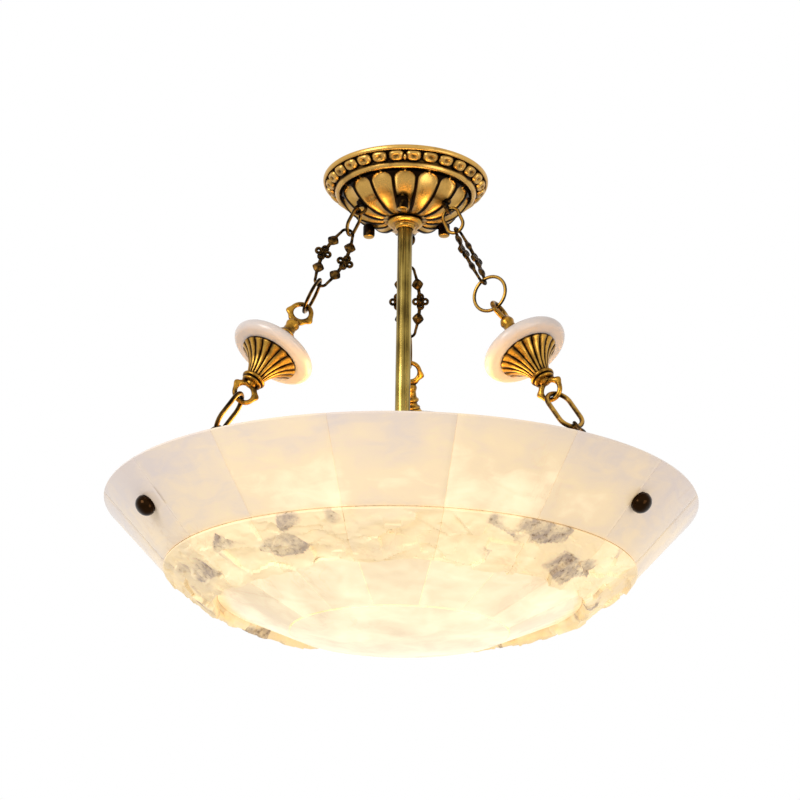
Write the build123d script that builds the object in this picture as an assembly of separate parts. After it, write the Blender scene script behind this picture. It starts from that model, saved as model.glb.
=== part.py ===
from build123d import *
import math
import os

# Semi-flush ceiling light: a stone bowl hung on three ornamental chains from a cast brass canopy.
# Millimetres, +Z up. The origin is the middle of the ceiling face of the canopy.
# Profiles are drawn as (radius, height) in the XZ plane and turned about Z.

# Canopy
canopy_radius = 72.0
canopy_lip = 3.0
canopy_wall = 2.5
cove_radius = 58.0
cove_drop = 14.5
dome_radius = 55.0
dome_foot_radius = 18.0
dome_drop = 38.0
dome_belly_radius = 44.0
dome_belly_drop = 29.5
bead_count = 24
bead_radius = 3.3
petal_count = 16
petal_groove_radius = 1.5

# Ceiling plate and what clamps the canopy to it
plate_radius = 52.0
plate_thickness = 2.0
outlet_spacing = 88.9
outlet_slot_length = 10.0
outlet_slot_width = 4.8
knob_circle_radius = 38.0
knob_shank_radius = 2.0
knob_radius = 4.4
knob_length = 9.0

# Stem
stem_radius = 6.35
stem_bore_radius = 5.05
stem_top_drop = 24.0
nipple_radius = 4.95
nipple_bore_radius = 3.6
nipple_length = 44.0
locknut_across_flats = 16.0
locknut_height = 4.0
collar_radius = 15.5
collar_height = 4.5
collar_neck_radius = 9.0
collar_neck_height = 4.0

# Chain, from the canopy eye down to the eye bolt in the bowl
chain_count = 3
first_chain_angle = -153.0
lug_circle_radius = 43.0
lug_eye_drop = 36.5
lug_eye_radius = 3.6
lug_wire_radius = 1.3
lug_shank_radius = 2.2
link_gap = 0.3
lug_ring_length = 22.0
lug_ring_width = 12.0
lug_ring_wire = 1.5
filigree_length = 60.0
filigree_end_radius = 4.0
filigree_half_width = 9.5
filigree_rail = 2.6
filigree_thickness = 2.6
quatrefoil_lobe_radius = 2.5
quatrefoil_lobe_offset = 3.2
quatrefoil_core_radius = 2.6
diamond_length = 8.5
diamond_width = 6.0
round_ring_radius = 13.6
round_ring_wire = 1.45
spacer_length = 105.0
oval_link_length = 34.0
oval_link_width = 17.0
oval_link_wire = 2.0

# Lean of each piece of the chain away from the vertical, counted from the mean lean
lean_lug_ring = -5.0
lean_upper_link = -4.0
lean_round_ring = -2.0
lean_spacer = 1.5
lean_oval_link = 3.5
lean_lower_link = 4.0

# Twist of each piece about its own length; 0 lies in the plane of the stem
lug_ring_twists = [45.0, 6.0, 6.0]
twist_oval_link = 60.0
twist_lower_link = -65.0
upper_link_twists = [-20.0, 90.0, 90.0]

# Spacer: stirrup eye, ribbed collar, stone disc, fluted bell and foot
eye_hole_radius = 6.35
eye_bar = 4.2
shoulder_thickness = 3.4
neck_radius = 6.0
rod_radius = 3.0
rod_clearance = 0.1
ribbed_collar_radius = 11.0
ribbed_collar_height = 8.0
rib_count = 20
disc_radius = 36.0
disc_thickness = 10.0
bell_radius = 24.5
bell_neck_radius = 7.0
bell_height = 25.0
bell_lip = 2.0
flute_count = 18
flute_radius = 2.0
foot_ring_radius = 10.0
foot_ring_height = 6.0

# Bowl, measured down from its rim
stave_count = 16
bowl_radius = 245.0
bowl_wall = 12.0
rim_edge = 1.8
smooth_edge_radius = 192.0
smooth_edge_drop = 56.5
rough_edge_radius = 148.0
rough_edge_drop = 79.0
disc_edge_radius = 88.0
disc_edge_drop = 105.0
bottom_drop = 113.0
bottom_thickness = 12.0
stone_joint = 0.2
rough_proud_top = 2.5
rough_proud_middle = 6.0
rough_proud_bottom = 8.5
rough_unevenness = 1.8

# Eye bolts that carry the bowl
bolt_drop = 27.5
bolt_radius = 2.5
bolt_clearance = 0.3
bolt_eye_radius = 5.0
bolt_eye_standoff = 6.0
thread_clearance = 0.1
seat_gap = 0.3
washer_gap = 0.25
bolt_eye_wire = 2.0
bolt_washer_radius = 8.0
bolt_washer_thickness = 1.5
acorn_radius = 8.8
acorn_height = 8.0
open_pivot_gap = 1.0

# Lamps
hub_radius = 16.0
hub_height = 24.0
hub_wall = 3.0
hub_grip = 12.0
hub_drop_below_rim = 7.0
finial_radius = 7.0
finial_height = 14.0
holder_neck_radius = 5.0
holder_neck_length = 4.0
holder_radius = 13.0
holder_wall = 1.4
holder_length = 32.0
core_clearance = 0.2
core_length = 24.0
bulb_cap_radius = 7.0
bulb_cap_length = 16.0
bulb_neck_length = 14.0
bulb_radius = 22.5

os.makedirs("parts", exist_ok=True)
nodes = {}

chain_angles = [first_chain_angle + i * 360.0 / chain_count for i in range(chain_count)]
lamp_angles = [angle + 180.0 / chain_count for angle in chain_angles]
stave_angle = 360.0 / stave_count
first_stave_angle = -91.0


def profile(points):
    """Face in the XZ plane from (radius, height) corners."""
    return make_face(Plane.XZ * Polyline(*points, close=True))


def turned(points):
    """Solid of revolution about Z from (radius, height) corners."""
    return revolve(profile(points), Axis.Z)


def turned_part(points, middle_angle, arc):
    """The part of a turned solid that spans an arc about a middle angle."""
    wedge = revolve(profile(points), Axis.Z, revolution_arc=arc)
    return Rot(0, 0, middle_angle - arc / 2) * wedge


def around(shape, angles):
    """Copies of a shape turned about Z to each angle."""
    return [Rot(0, 0, angle) * shape for angle in angles]


def group(solids):
    """Several separate solids that share one node."""
    return Compound(children=list(solids))


def half_torus(path_radius, wire):
    """Half of a torus about Z, on the side where y is positive."""
    halves = (Align.CENTER, Align.MIN, Align.CENTER)
    return Torus(path_radius, wire, major_angle=180, align=halves)


def ring_link(inner_length, inner_width, wire):
    """Closed wire link of oval outline in the XZ plane, measured inside its wire."""
    straight = inner_length - inner_width
    path_radius = inner_width / 2 + wire
    half = straight / 2
    if half < 0.01:
        return Rot(90, 0, 0) * Torus(path_radius, wire)
    bend = half_torus(path_radius, wire)
    top = Pos(0, 0, half) * Rot(90, 0, 0) * bend
    bottom = Pos(0, 0, -half) * Rot(-90, 0, 0) * bend
    link = top + bottom
    for side in (-1, 1):
        link += Pos(side * path_radius, 0, 0) * Cylinder(wire, straight)
    return link


# Chain: each piece hangs from the one above at a leaning angle. The two ends are fixed, at the
# canopy eye and at the eye bolt, so the mean lean follows from the lengths of the pieces.
wall_slope = math.atan2(smooth_edge_drop, bowl_radius - smooth_edge_radius)
bolt_outer_radius = bowl_radius - bolt_drop / math.tan(wall_slope)
inward_radius = -math.sin(wall_slope)
inward_height = math.cos(wall_slope)
eye_reach = bowl_wall + bolt_washer_thickness + bolt_eye_wire + bolt_eye_radius + bolt_eye_standoff
bolt_eye_centre_radius = bolt_outer_radius + inward_radius * eye_reach
bolt_eye_centre_drop = bolt_drop - inward_height * eye_reach
chain_lengths = [
    lug_ring_length,
    filigree_length,
    2 * round_ring_radius,
    spacer_length,
    oval_link_length,
    filigree_length,
]
chain_steps = [length - link_gap for length in chain_lengths]
lean_offsets = [
    lean_lug_ring,
    lean_upper_link,
    lean_round_ring,
    lean_spacer,
    lean_oval_link,
    lean_lower_link,
]
bolt_eye_reach = bolt_eye_radius - open_pivot_gap


def mean_lean(run):
    """Mean lean in radians at which the chain covers a horizontal run."""
    along = sum(s * math.cos(math.radians(o)) for s, o in zip(chain_steps, lean_offsets))
    across = sum(s * math.sin(math.radians(o)) for s, o in zip(chain_steps, lean_offsets))
    return math.asin(run / math.hypot(along, across)) - math.atan2(across, along)


def chain_run(middle_lean):
    """Horizontal run that is left between the two eyes, at a mean lean."""
    top_lean = middle_lean + math.radians(lean_offsets[0])
    bottom_lean = middle_lean + math.radians(lean_offsets[-1])
    start = lug_circle_radius + lug_eye_radius * math.sin(top_lean)
    return bolt_eye_centre_radius - bolt_eye_reach * math.sin(bottom_lean) - start


lean = mean_lean(bolt_eye_centre_radius - lug_circle_radius)
for step_towards_fit in range(8):
    lean = mean_lean(chain_run(lean))
leans = [math.degrees(lean) + offset for offset in lean_offsets]
lug_lean = math.radians(leans[0])
chain_points = [(
    lug_circle_radius + lug_eye_radius * math.sin(lug_lean),
    -lug_eye_drop - lug_eye_radius * math.cos(lug_lean),
)]
for step, piece_lean in zip(chain_steps, leans):
    radius, height = chain_points[-1]
    radius += step * math.sin(math.radians(piece_lean))
    height -= step * math.cos(math.radians(piece_lean))
    chain_points.append((radius, height))
last_lean = math.radians(leans[-1])
chain_end_radius, chain_end_height = chain_points[-1]
bolt_eye_height = chain_end_height - bolt_eye_reach * math.cos(last_lean)
rim_height = bolt_eye_height + bolt_eye_centre_drop


def on_chain(shape, piece, chain, twist=0.0):
    """Place a piece drawn about its own middle at its place on one chain."""
    (r0, z0), (r1, z1) = chain_points[piece], chain_points[piece + 1]
    middle = Pos((r0 + r1) / 2, 0, (z0 + z1) / 2)
    return Rot(0, 0, chain_angles[chain]) * middle * Rot(0, -leans[piece], 0) * Rot(0, 0, twist) * shape


# Canopy shell: rim, cove with beads, and a dome cut into petals
def canopy_outline(inset):
    """Rim, cove and dome as one line, moved inwards by the wall for the inside."""
    rim = Line((canopy_radius - inset, 0), (canopy_radius - inset, -canopy_lip + inset))
    cove = Line(rim @ 1, (cove_radius - inset * 0.4, -cove_drop + inset))
    step = Line(cove @ 1, (dome_radius - inset, -cove_drop + inset))
    dome = ThreePointArc(
        step @ 1,
        (dome_belly_radius - inset * 0.7, -dome_belly_drop + inset * 0.7),
        (dome_foot_radius, -dome_drop + inset),
    )
    floor = Line(dome @ 1, (0, -dome_drop + inset))
    return rim, cove, step, dome, floor


def canopy_body(inset):
    rim, cove, step, dome, floor = canopy_outline(inset)
    axis_line = Line(floor @ 1, (0, 0))
    top_line = Line((0, 0), rim @ 0)
    face = make_face(Plane.XZ * Curve([rim, cove, step, dome, floor, axis_line, top_line]))
    return revolve(face, Axis.Z)


canopy = canopy_body(0) - canopy_body(canopy_wall)
dome_line = Plane.XZ * ThreePointArc(
    (dome_radius, -cove_drop),
    (dome_belly_radius, -dome_belly_drop),
    (dome_foot_radius, -dome_drop),
)
groove = sweep(Plane(dome_line @ 0, z_dir=dome_line % 0) * Circle(petal_groove_radius), path=dome_line)
for cut in around(groove, [i * 360.0 / petal_count for i in range(petal_count)]):
    canopy -= cut
bead_circle = (canopy_radius + cove_radius) / 2
bead_height = -(canopy_lip + cove_drop) / 2 + 0.3
bead = Pos(bead_circle, 0, bead_height) * Sphere(bead_radius)
bead -= canopy_body(canopy_wall)
for knob in around(bead, [i * 360.0 / bead_count for i in range(bead_count)]):
    canopy += knob
canopy -= Pos(0, 0, -dome_drop) * Cylinder(stem_radius + 0.25, 12)
knob_hole = Pos(knob_circle_radius, 0, -dome_drop / 2) * Cylinder(knob_shank_radius + 0.3, dome_drop + 20)
lug_hole = Pos(lug_circle_radius, 0, -lug_eye_drop / 2) * Cylinder(lug_shank_radius, lug_eye_drop)
for hole in around(knob_hole, lamp_angles) + around(lug_hole, chain_angles):
    canopy -= hole
nodes["canopy_shell"] = canopy

# Ceiling plate with slots for the outlet box and holes for the knob screws
plate = Pos(0, 0, -plate_thickness / 2) * Cylinder(plate_radius, plate_thickness)
plate -= Cylinder(nipple_radius + 0.05, 3 * plate_thickness)
for side in (-1, 1):
    slot = extrude(SlotOverall(outlet_slot_length, outlet_slot_width), plate_thickness, both=True)
    plate -= Pos(side * outlet_spacing / 2, 0, 0) * slot
plate_hole = Pos(knob_circle_radius, 0, 0) * Cylinder(knob_shank_radius + thread_clearance, 3 * plate_thickness)
for hole in around(plate_hole, lamp_angles):
    plate -= hole
nodes["mounting_plate"] = plate

# Knob screws: a shank up to the plate and a round knob under the dome
knob_profile = [
    (0, -0.4),
    (knob_shank_radius, -0.4),
    (knob_shank_radius, -dome_belly_drop - 6.5),
    (knob_radius * 0.7, -dome_belly_drop - 6.5),
    (knob_radius, -dome_belly_drop - 8.5),
    (knob_radius, -dome_belly_drop - 6.5 - knob_length + 2.5),
    (knob_radius * 0.6, -dome_belly_drop - 6.5 - knob_length),
    (0, -dome_belly_drop - 6.5 - knob_length),
]
knob_screw = Pos(knob_circle_radius, 0, 0) * turned(knob_profile)
for i, placed in enumerate(around(knob_screw, lamp_angles)):
    nodes[f"canopy_knob_{i + 1}"] = placed

# Cast eyes that hang from the dome
def chain_lug(angle, eye_twist):
    """Shank through the dome, with a wire eye that leans as the chain does and clears the dome."""
    place = Rot(0, 0, angle) * Pos(lug_circle_radius, 0, -lug_eye_drop)
    wire = Rot(90, 0, 0) * Torus(lug_eye_radius + lug_wire_radius, lug_wire_radius)
    eye = place * Rot(0, -leans[0], 0) * Rot(0, 0, eye_twist) * wire
    shank_bottom = lug_eye_radius + 0.4
    shank_length = lug_eye_drop - cove_drop - shank_bottom
    shank_middle = Pos(0, 0, shank_bottom + shank_length / 2)
    shank = place * shank_middle * Cylinder(lug_shank_radius - 0.05, shank_length)
    return shank + (eye - canopy_body(-0.1))


lugs = [chain_lug(angle, twist + 90.0) for angle, twist in zip(chain_angles, lug_ring_twists)]
nodes["chain_lugs"] = group(lugs)

# Stem, its threaded nipple and nut, and the collar under the dome
hub_top = rim_height - hub_drop_below_rim
stem_bottom = hub_top - hub_grip
stem_length = -stem_top_drop - stem_bottom
stem = Pos(0, 0, stem_bottom + stem_length / 2) * Cylinder(stem_radius, stem_length)
stem -= Pos(0, 0, stem_bottom + stem_length / 2) * Cylinder(stem_bore_radius, stem_length + 2)
nodes["stem_tube"] = stem

nipple = Pos(0, 0, -0.3 - nipple_length / 2) * Cylinder(nipple_radius, nipple_length)
nipple -= Pos(0, 0, -nipple_length / 2) * Cylinder(nipple_bore_radius, nipple_length + 4)
nodes["stem_nipple"] = nipple

locknut = extrude(RegularPolygon(locknut_across_flats / 2, 6, major_radius=False), locknut_height)
locknut -= Cylinder(nipple_radius + 0.05, 3 * locknut_height)
nodes["stem_locknut"] = Pos(0, 0, -plate_thickness - 0.1 - locknut_height) * locknut

collar_bore = stem_radius + 0.1
collar_top = -dome_drop - 0.1
collar_points = [
    (collar_bore, collar_top),
    (collar_radius - 2.0, collar_top),
    (collar_radius, collar_top - 1.5),
    (collar_radius, collar_top - collar_height + 1.2),
    (collar_radius - 2.5, collar_top - collar_height),
    (collar_neck_radius, collar_top - collar_height),
    (collar_neck_radius, collar_top - collar_height - collar_neck_height + 1.0),
    (collar_neck_radius - 1.0, collar_top - collar_height - collar_neck_height),
    (collar_bore, collar_top - collar_height - collar_neck_height),
]
nodes["boss_collar"] = turned(collar_points)


# Filigree link: two bowed rails with diamonds and quatrefoils between two end loops
def filigree_link():
    end_height = filigree_length / 2 - filigree_end_radius
    middle_of_rail = filigree_end_radius + filigree_rail / 2
    outline = Sketch()
    for side in (-1, 1):
        rail_line = ThreePointArc(
            (side * middle_of_rail, end_height),
            (side * filigree_half_width, 0),
            (side * middle_of_rail, -end_height),
        )
        outline += trace(rail_line, filigree_rail)
        outline += Pos(side * filigree_half_width, 0) * Circle(quatrefoil_core_radius)
        for across, along in ((1, 0), (-1, 0), (0, 1), (0, -1)):
            lobe_x = side * filigree_half_width + across * quatrefoil_lobe_offset
            outline += Pos(lobe_x, along * quatrefoil_lobe_offset) * Circle(quatrefoil_lobe_radius)
        for end in (-1, 1):
            place = rail_line @ (0.5 + end * 0.28)
            half_long = diamond_length / 2
            half_wide = diamond_width / 2
            corners = [(half_wide, 0), (0, half_long), (-half_wide, 0), (0, -half_long)]
            outline += Pos(place.X, place.Y) * make_face(Polyline(*corners, close=True))
    link = extrude(Plane.XZ * outline, filigree_thickness / 2, both=True)
    wire = filigree_rail / 2
    for end in (-1, 1):
        bend = Rot(end * 90, 0, 0) * half_torus(middle_of_rail, wire)
        link += Pos(0, 0, end * end_height) * bend
    return link


# Stirrup eye of the spacer: a round wire eye between two pointed shoulders
def stirrup(shoulder_up):
    bar = eye_bar / 2
    outer = eye_hole_radius + eye_bar
    ring = Rot(90, 0, 0) * Torus(eye_hole_radius + bar, bar)
    low = -shoulder_up * outer * 1.25
    high = shoulder_up * outer * 0.55
    corners = [(-neck_radius + 0.8, low), (neck_radius - 0.8, low), (outer + 1.2, high), (-outer - 1.2, high)]
    plate_outline = make_face(Polyline(*corners, close=True)) - Circle(eye_hole_radius + bar)
    return ring + extrude(Plane.XZ * plate_outline, shoulder_thickness / 2, both=True)


half_spacer = spacer_length / 2
eye_height = half_spacer - eye_hole_radius
disc_half = disc_thickness / 2
collar_base = disc_half + 0.1
collar_head = collar_base + ribbed_collar_height
neck_base = collar_head + 0.1
neck_top = eye_height - eye_hole_radius - eye_bar * 0.4
bell_top = -disc_half - 0.1
bell_bottom = bell_top - bell_height
foot_top = bell_bottom - 0.1
foot_base = foot_top - foot_ring_height
rod_bottom = foot_top - foot_ring_height / 2


def spacer_eye():
    neck = [
        (0, neck_base),
        (neck_radius + 2.0, neck_base),
        (neck_radius + 2.0, neck_base + 2.0),
        (neck_radius, neck_base + 3.0),
        (neck_radius, neck_base + 6.0),
        (neck_radius + 1.2, neck_base + 7.5),
        (neck_radius, neck_base + 9.0),
        (neck_radius - 1.5, neck_top - 1.0),
        (0, neck_top - 1.0),
    ]
    piece = turned(neck)
    piece += Pos(0, 0, eye_height) * stirrup(1)
    piece += Pos(0, 0, (neck_base + rod_bottom) / 2) * Cylinder(rod_radius, neck_base - rod_bottom)
    return piece


def spacer_collar():
    bore = rod_radius + rod_clearance
    piece = turned([
        (bore, collar_base),
        (ribbed_collar_radius, collar_base),
        (ribbed_collar_radius, collar_base + 1.6),
        (ribbed_collar_radius - 1.4, collar_base + 2.2),
        (ribbed_collar_radius - 1.4, collar_head - 2.0),
        (ribbed_collar_radius - 2.6, collar_head),
        (bore, collar_head),
    ])
    rib = Pos(ribbed_collar_radius - 1.4, 0, collar_base + ribbed_collar_height * 0.45)
    rib = rib * Box(1.2, 1.1, ribbed_collar_height * 0.5)
    for placed in around(rib, [i * 360.0 / rib_count for i in range(rib_count)]):
        piece += placed
    return piece


def stone_disc():
    bore = rod_radius + rod_clearance
    edge_start = Line((bore, disc_half), (disc_radius - disc_half, disc_half))
    edge = ThreePointArc(edge_start @ 1, (disc_radius, 0), (disc_radius - disc_half, -disc_half))
    under = Line(edge @ 1, (bore, -disc_half))
    hole = Line(under @ 1, edge_start @ 0)
    return revolve(make_face(Plane.XZ * Curve([edge_start, edge, under, hole])), Axis.Z)


def spacer_bell():
    bore = rod_radius + rod_clearance
    lip = Line((bore, bell_top), (bell_radius, bell_top))
    edge = Line(lip @ 1, (bell_radius, bell_top - bell_lip))
    flare = ThreePointArc(
        edge @ 1,
        (bell_neck_radius + (bell_radius - bell_neck_radius) * 0.33, bell_top - bell_height * 0.5),
        (bell_neck_radius, bell_bottom),
    )
    under = Line(flare @ 1, (bore, bell_bottom))
    hole = Line(under @ 1, lip @ 0)
    piece = revolve(make_face(Plane.XZ * Curve([lip, edge, flare, under, hole])), Axis.Z)
    flare_path = Plane.XZ * ThreePointArc(
        (bell_radius, bell_top - bell_lip),
        (bell_neck_radius + (bell_radius - bell_neck_radius) * 0.33, bell_top - bell_height * 0.5),
        (bell_neck_radius + flute_radius * 0.6, bell_bottom + 2.0),
    )
    cutter = sweep(Plane(flare_path @ 0, z_dir=flare_path % 0) * Circle(flute_radius * 0.6), path=flare_path)
    for cut in around(cutter, [i * 360.0 / flute_count for i in range(flute_count)]):
        piece -= cut
    return piece


def spacer_foot():
    foot = [
        (0, foot_top),
        (foot_ring_radius, foot_top),
        (foot_ring_radius, foot_top - foot_ring_height * 0.4),
        (foot_ring_radius - 2.0, foot_top - foot_ring_height * 0.5),
        (foot_ring_radius - 1.2, foot_top - foot_ring_height * 0.8),
        (foot_ring_radius - 3.0, foot_base),
        (0, foot_base),
    ]
    piece = turned(foot)
    piece += Pos(0, 0, -eye_height) * stirrup(-1)
    socket_height = foot_top - rod_bottom + 0.3
    piece -= Pos(0, 0, foot_top - socket_height / 2) * Cylinder(rod_radius + 0.05, socket_height)
    return piece


filigree = filigree_link()
lug_ring = ring_link(lug_ring_length, lug_ring_width, lug_ring_wire)
round_ring = ring_link(2 * round_ring_radius, 2 * round_ring_radius, round_ring_wire)
oval_link = ring_link(oval_link_length, oval_link_width, oval_link_wire)
for chain in range(chain_count):
    number = chain + 1
    link_twist = upper_link_twists[chain]
    ring_twist = link_twist + 90.0
    nodes[f"lug_ring_{number}"] = on_chain(lug_ring, 0, chain, lug_ring_twists[chain])
    nodes[f"upper_link_{number}"] = on_chain(filigree, 1, chain, link_twist)
    nodes[f"round_ring_{number}"] = on_chain(round_ring, 2, chain, ring_twist)
    nodes[f"spacer_eye_{number}"] = on_chain(spacer_eye(), 3, chain, link_twist)
    nodes[f"spacer_collar_{number}"] = on_chain(spacer_collar(), 3, chain)
    nodes[f"stone_disc_{number}"] = on_chain(stone_disc(), 3, chain)
    nodes[f"spacer_bell_{number}"] = on_chain(spacer_bell(), 3, chain)
    nodes[f"spacer_foot_{number}"] = on_chain(spacer_foot(), 3, chain)
    nodes[f"oval_link_{number}"] = on_chain(oval_link, 4, chain, twist_oval_link)
    nodes[f"lower_link_{number}"] = on_chain(filigree, 5, chain, twist_lower_link)

# Bowl wall: corners of its outer line, and the same corners moved in by the wall
outer_corners = [
    (bowl_radius, 0.0),
    (smooth_edge_radius, -smooth_edge_drop),
    (rough_edge_radius, -rough_edge_drop),
    (disc_edge_radius, -disc_edge_drop),
    (0.0, -bottom_drop),
]
slopes = [
    math.atan2(z0 - z1, r0 - r1) for (r0, z0), (r1, z1) in zip(outer_corners[:-1], outer_corners[1:])
]


def across_wall(corner, distance):
    """Point at a distance across the wall from an outer corner, inwards when positive."""
    before, after = slopes[corner - 1], slopes[corner]
    middle = (before + after) / 2
    stretch = distance / math.cos((before - after) / 2)
    r, z = outer_corners[corner]
    return (r - stretch * math.sin(middle), z + stretch * math.cos(middle))


def shifted(point, slope, distance):
    """Point moved down the wall by a distance, to leave the mortar joint."""
    return (point[0] - distance * math.cos(slope), point[1] - distance * math.sin(slope))


def raised(points):
    """Bowl points counted from the rim, set at the height of the rim."""
    return [(r, z + rim_height) for r, z in points]


rim_inner = (bowl_radius - bowl_wall / math.sin(slopes[0]), 0.0)
stave_arc = stave_angle - math.degrees(stone_joint / bowl_radius)
stave_angles = [first_stave_angle + i * stave_angle for i in range(stave_count)]

upper_points = raised([
    (bowl_radius - rim_edge, 0.0),
    shifted(outer_corners[0], slopes[0], rim_edge),
    outer_corners[1],
    across_wall(1, bowl_wall),
    rim_inner,
])
upper_staves = [turned_part(upper_points, angle, stave_arc) for angle in stave_angles]

rough_blocks = []
for i, angle in enumerate(stave_angles):
    wobble = rough_unevenness * math.sin(2.4 * i)
    counter_wobble = rough_unevenness * math.cos(3.7 * i)
    belt = (
        (smooth_edge_radius + rough_edge_radius) / 2 + 16.0 + wobble,
        -(smooth_edge_drop + rough_edge_drop) / 2 - rough_proud_middle * 0.2 + wobble * 0.5,
    )
    block = raised([
        shifted(across_wall(1, -rough_proud_top), slopes[1], stone_joint),
        belt,
        shifted(across_wall(2, -rough_proud_bottom - counter_wobble), slopes[1], -0.5),
        shifted(across_wall(2, bowl_wall), slopes[1], -stone_joint),
        shifted(across_wall(1, bowl_wall), slopes[1], stone_joint),
    ])
    rough_blocks.append(turned_part(block, angle, stave_arc))

lower_points = raised([
    outer_corners[2],
    shifted(outer_corners[3], slopes[2], -stone_joint),
    shifted(across_wall(3, bowl_wall), slopes[2], -stone_joint),
    across_wall(2, bowl_wall),
])
lower_staves = [turned_part(lower_points, angle, stave_arc) for angle in stave_angles]

disc_rim = outer_corners[3]
disc_rim_inner = across_wall(3, bowl_wall)
bottom_low = Line((disc_rim_inner[0], disc_rim_inner[1]), disc_rim)
bottom_rise = bottom_drop - disc_edge_drop
bottom_sphere = (disc_edge_radius**2 + bottom_rise**2) / (2 * bottom_rise)
half_angle = math.asin(disc_edge_radius / bottom_sphere) / 2
bottom_dome = ThreePointArc(
    disc_rim,
    (bottom_sphere * math.sin(half_angle), -bottom_drop + bottom_sphere * (1 - math.cos(half_angle))),
    (0, -bottom_drop),
)
bottom_axis = Line((0, -bottom_drop), (0, -bottom_drop + bottom_thickness))
bottom_inside = Line((0, -bottom_drop + bottom_thickness), bottom_low @ 0)
bottom_face = make_face(Plane.XZ * Curve([bottom_low, bottom_dome, bottom_axis, bottom_inside]))
bottom = Pos(0, 0, rim_height) * revolve(bottom_face, Axis.Z)


# Eye bolt along the wall's normal: its local +X points inwards, its origin lies on the outer face
def on_bolt(shape, chain):
    place = Pos(bolt_outer_radius, 0, rim_height - bolt_drop)
    tilt = -math.degrees(math.atan2(inward_height, inward_radius))
    return Rot(0, 0, chain_angles[chain]) * place * Rot(0, tilt, 0) * shape


def lying(points):
    """Turned solid whose axis is X, from (radius, distance along X) corners."""
    return Rot(0, 90, 0) * turned(points)


shank_end = -bolt_washer_thickness - acorn_height * 0.6
shank_start = eye_reach - bolt_eye_radius - bolt_eye_wire * 0.3
eye_bolt = Pos((shank_start + shank_end) / 2, 0, 0) * Rot(0, 90, 0) * Cylinder(
    bolt_radius, shank_start - shank_end
)
flange_start = bowl_wall + bolt_washer_thickness + 2 * washer_gap
eye_bolt += Pos(flange_start + 0.8, 0, 0) * Rot(0, 90, 0) * Cylinder(bolt_radius + 2.0, 1.6)
eye_bolt += Pos(eye_reach, 0, 0) * Rot(90, 0, 0) * Torus(bolt_eye_radius + bolt_eye_wire, bolt_eye_wire)
washer = Rot(0, 90, 0) * (
    Cylinder(bolt_washer_radius, bolt_washer_thickness)
    - Cylinder(bolt_radius + 0.1, 2 * bolt_washer_thickness)
)
acorn_bore = bolt_radius + thread_clearance
acorn = lying([
    (acorn_bore, 0),
    (acorn_radius, 0),
    (acorn_radius, -1.2),
    (acorn_radius - 0.8, -acorn_height * 0.45),
    (acorn_radius * 0.55, -acorn_height * 0.85),
    (0, -acorn_height),
    (0, -acorn_height * 0.72),
    (acorn_bore, -acorn_height * 0.72),
])
bolt_hole = Rot(0, 90, 0) * Cylinder(bolt_radius + bolt_clearance, 4 * bowl_wall)
holes = [on_bolt(bolt_hole, chain) for chain in range(chain_count)]
drilled = []
for stave in upper_staves:
    for hole in holes:
        stave = stave - hole
    drilled.append(stave)
nodes["upper_staves"] = group(drilled)
nodes["rough_blocks"] = group(rough_blocks)
nodes["lower_staves"] = group(lower_staves)
nodes["bottom_disc"] = bottom
chains = range(chain_count)
nodes["eye_bolts"] = group(on_bolt(eye_bolt, chain) for chain in chains)
inner_washer = Pos(bowl_wall + washer_gap + bolt_washer_thickness / 2, 0, 0) * washer
outer_washer = Pos(-washer_gap - bolt_washer_thickness / 2, 0, 0) * washer
nodes["inner_washers"] = group(on_bolt(inner_washer, chain) for chain in chains)
nodes["outer_washers"] = group(on_bolt(outer_washer, chain) for chain in chains)
seated_acorn = Pos(-bolt_washer_thickness - washer_gap - seat_gap, 0, 0) * acorn
for chain in chains:
    nodes[f"acorn_nut_{chain + 1}"] = on_bolt(seated_acorn, chain)

# Lamp cluster at the foot of the stem
hub_bottom = hub_top - hub_height
hub_profile = [
    (0, hub_bottom),
    (hub_radius - 3.0, hub_bottom),
    (hub_radius, hub_bottom + 3.0),
    (hub_radius, hub_top - 5.0),
    (stem_radius + 2.5, hub_top),
    (0, hub_top),
]
hub = turned(hub_profile)
hub -= Pos(0, 0, hub_top - hub_grip / 2) * Cylinder(stem_radius + 0.05, hub_grip)
hub_cavity_height = hub_height - hub_grip - hub_wall
hub -= Pos(0, 0, hub_bottom + hub_wall + hub_cavity_height / 2) * Cylinder(
    hub_radius - hub_wall, hub_cavity_height
)
nodes["lamp_hub"] = hub

finial_top = hub_bottom - 0.1
nodes["hub_finial"] = turned([
    (0, finial_top),
    (finial_radius * 0.8, finial_top),
    (finial_radius, finial_top - finial_height * 0.2),
    (finial_radius * 0.5, finial_top - finial_height * 0.45),
    (finial_radius * 0.65, finial_top - finial_height * 0.65),
    (0, finial_top - finial_height),
])

lamp_height = hub_bottom + 8.0
cup_start = hub_radius + holder_neck_length
cup_end = cup_start + holder_length
cup = lying([
    (0, hub_radius + 0.1),
    (holder_neck_radius, hub_radius + 0.1),
    (holder_neck_radius, cup_start),
    (holder_radius, cup_start + 5.0),
    (holder_radius, cup_end),
    (holder_radius - holder_wall, cup_end),
    (holder_radius - holder_wall, cup_end - core_length - core_clearance),
    (0, cup_end - core_length - core_clearance),
])
core_start = cup_end - core_length
core = lying([
    (0, core_start),
    (holder_radius - holder_wall - core_clearance, core_start),
    (holder_radius - holder_wall - core_clearance, cup_end),
    (bulb_cap_radius + thread_clearance, cup_end),
    (bulb_cap_radius + thread_clearance, cup_end - bulb_cap_length - 2.0),
    (0, cup_end - bulb_cap_length - 2.0),
])
cap_start = cup_end - bulb_cap_length
neck_end = cup_end + bulb_neck_length
neck_share = 0.7
globe_neck_radius = bulb_radius * math.sqrt(1 - neck_share**2)
globe_centre = neck_end + bulb_radius * neck_share
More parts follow.
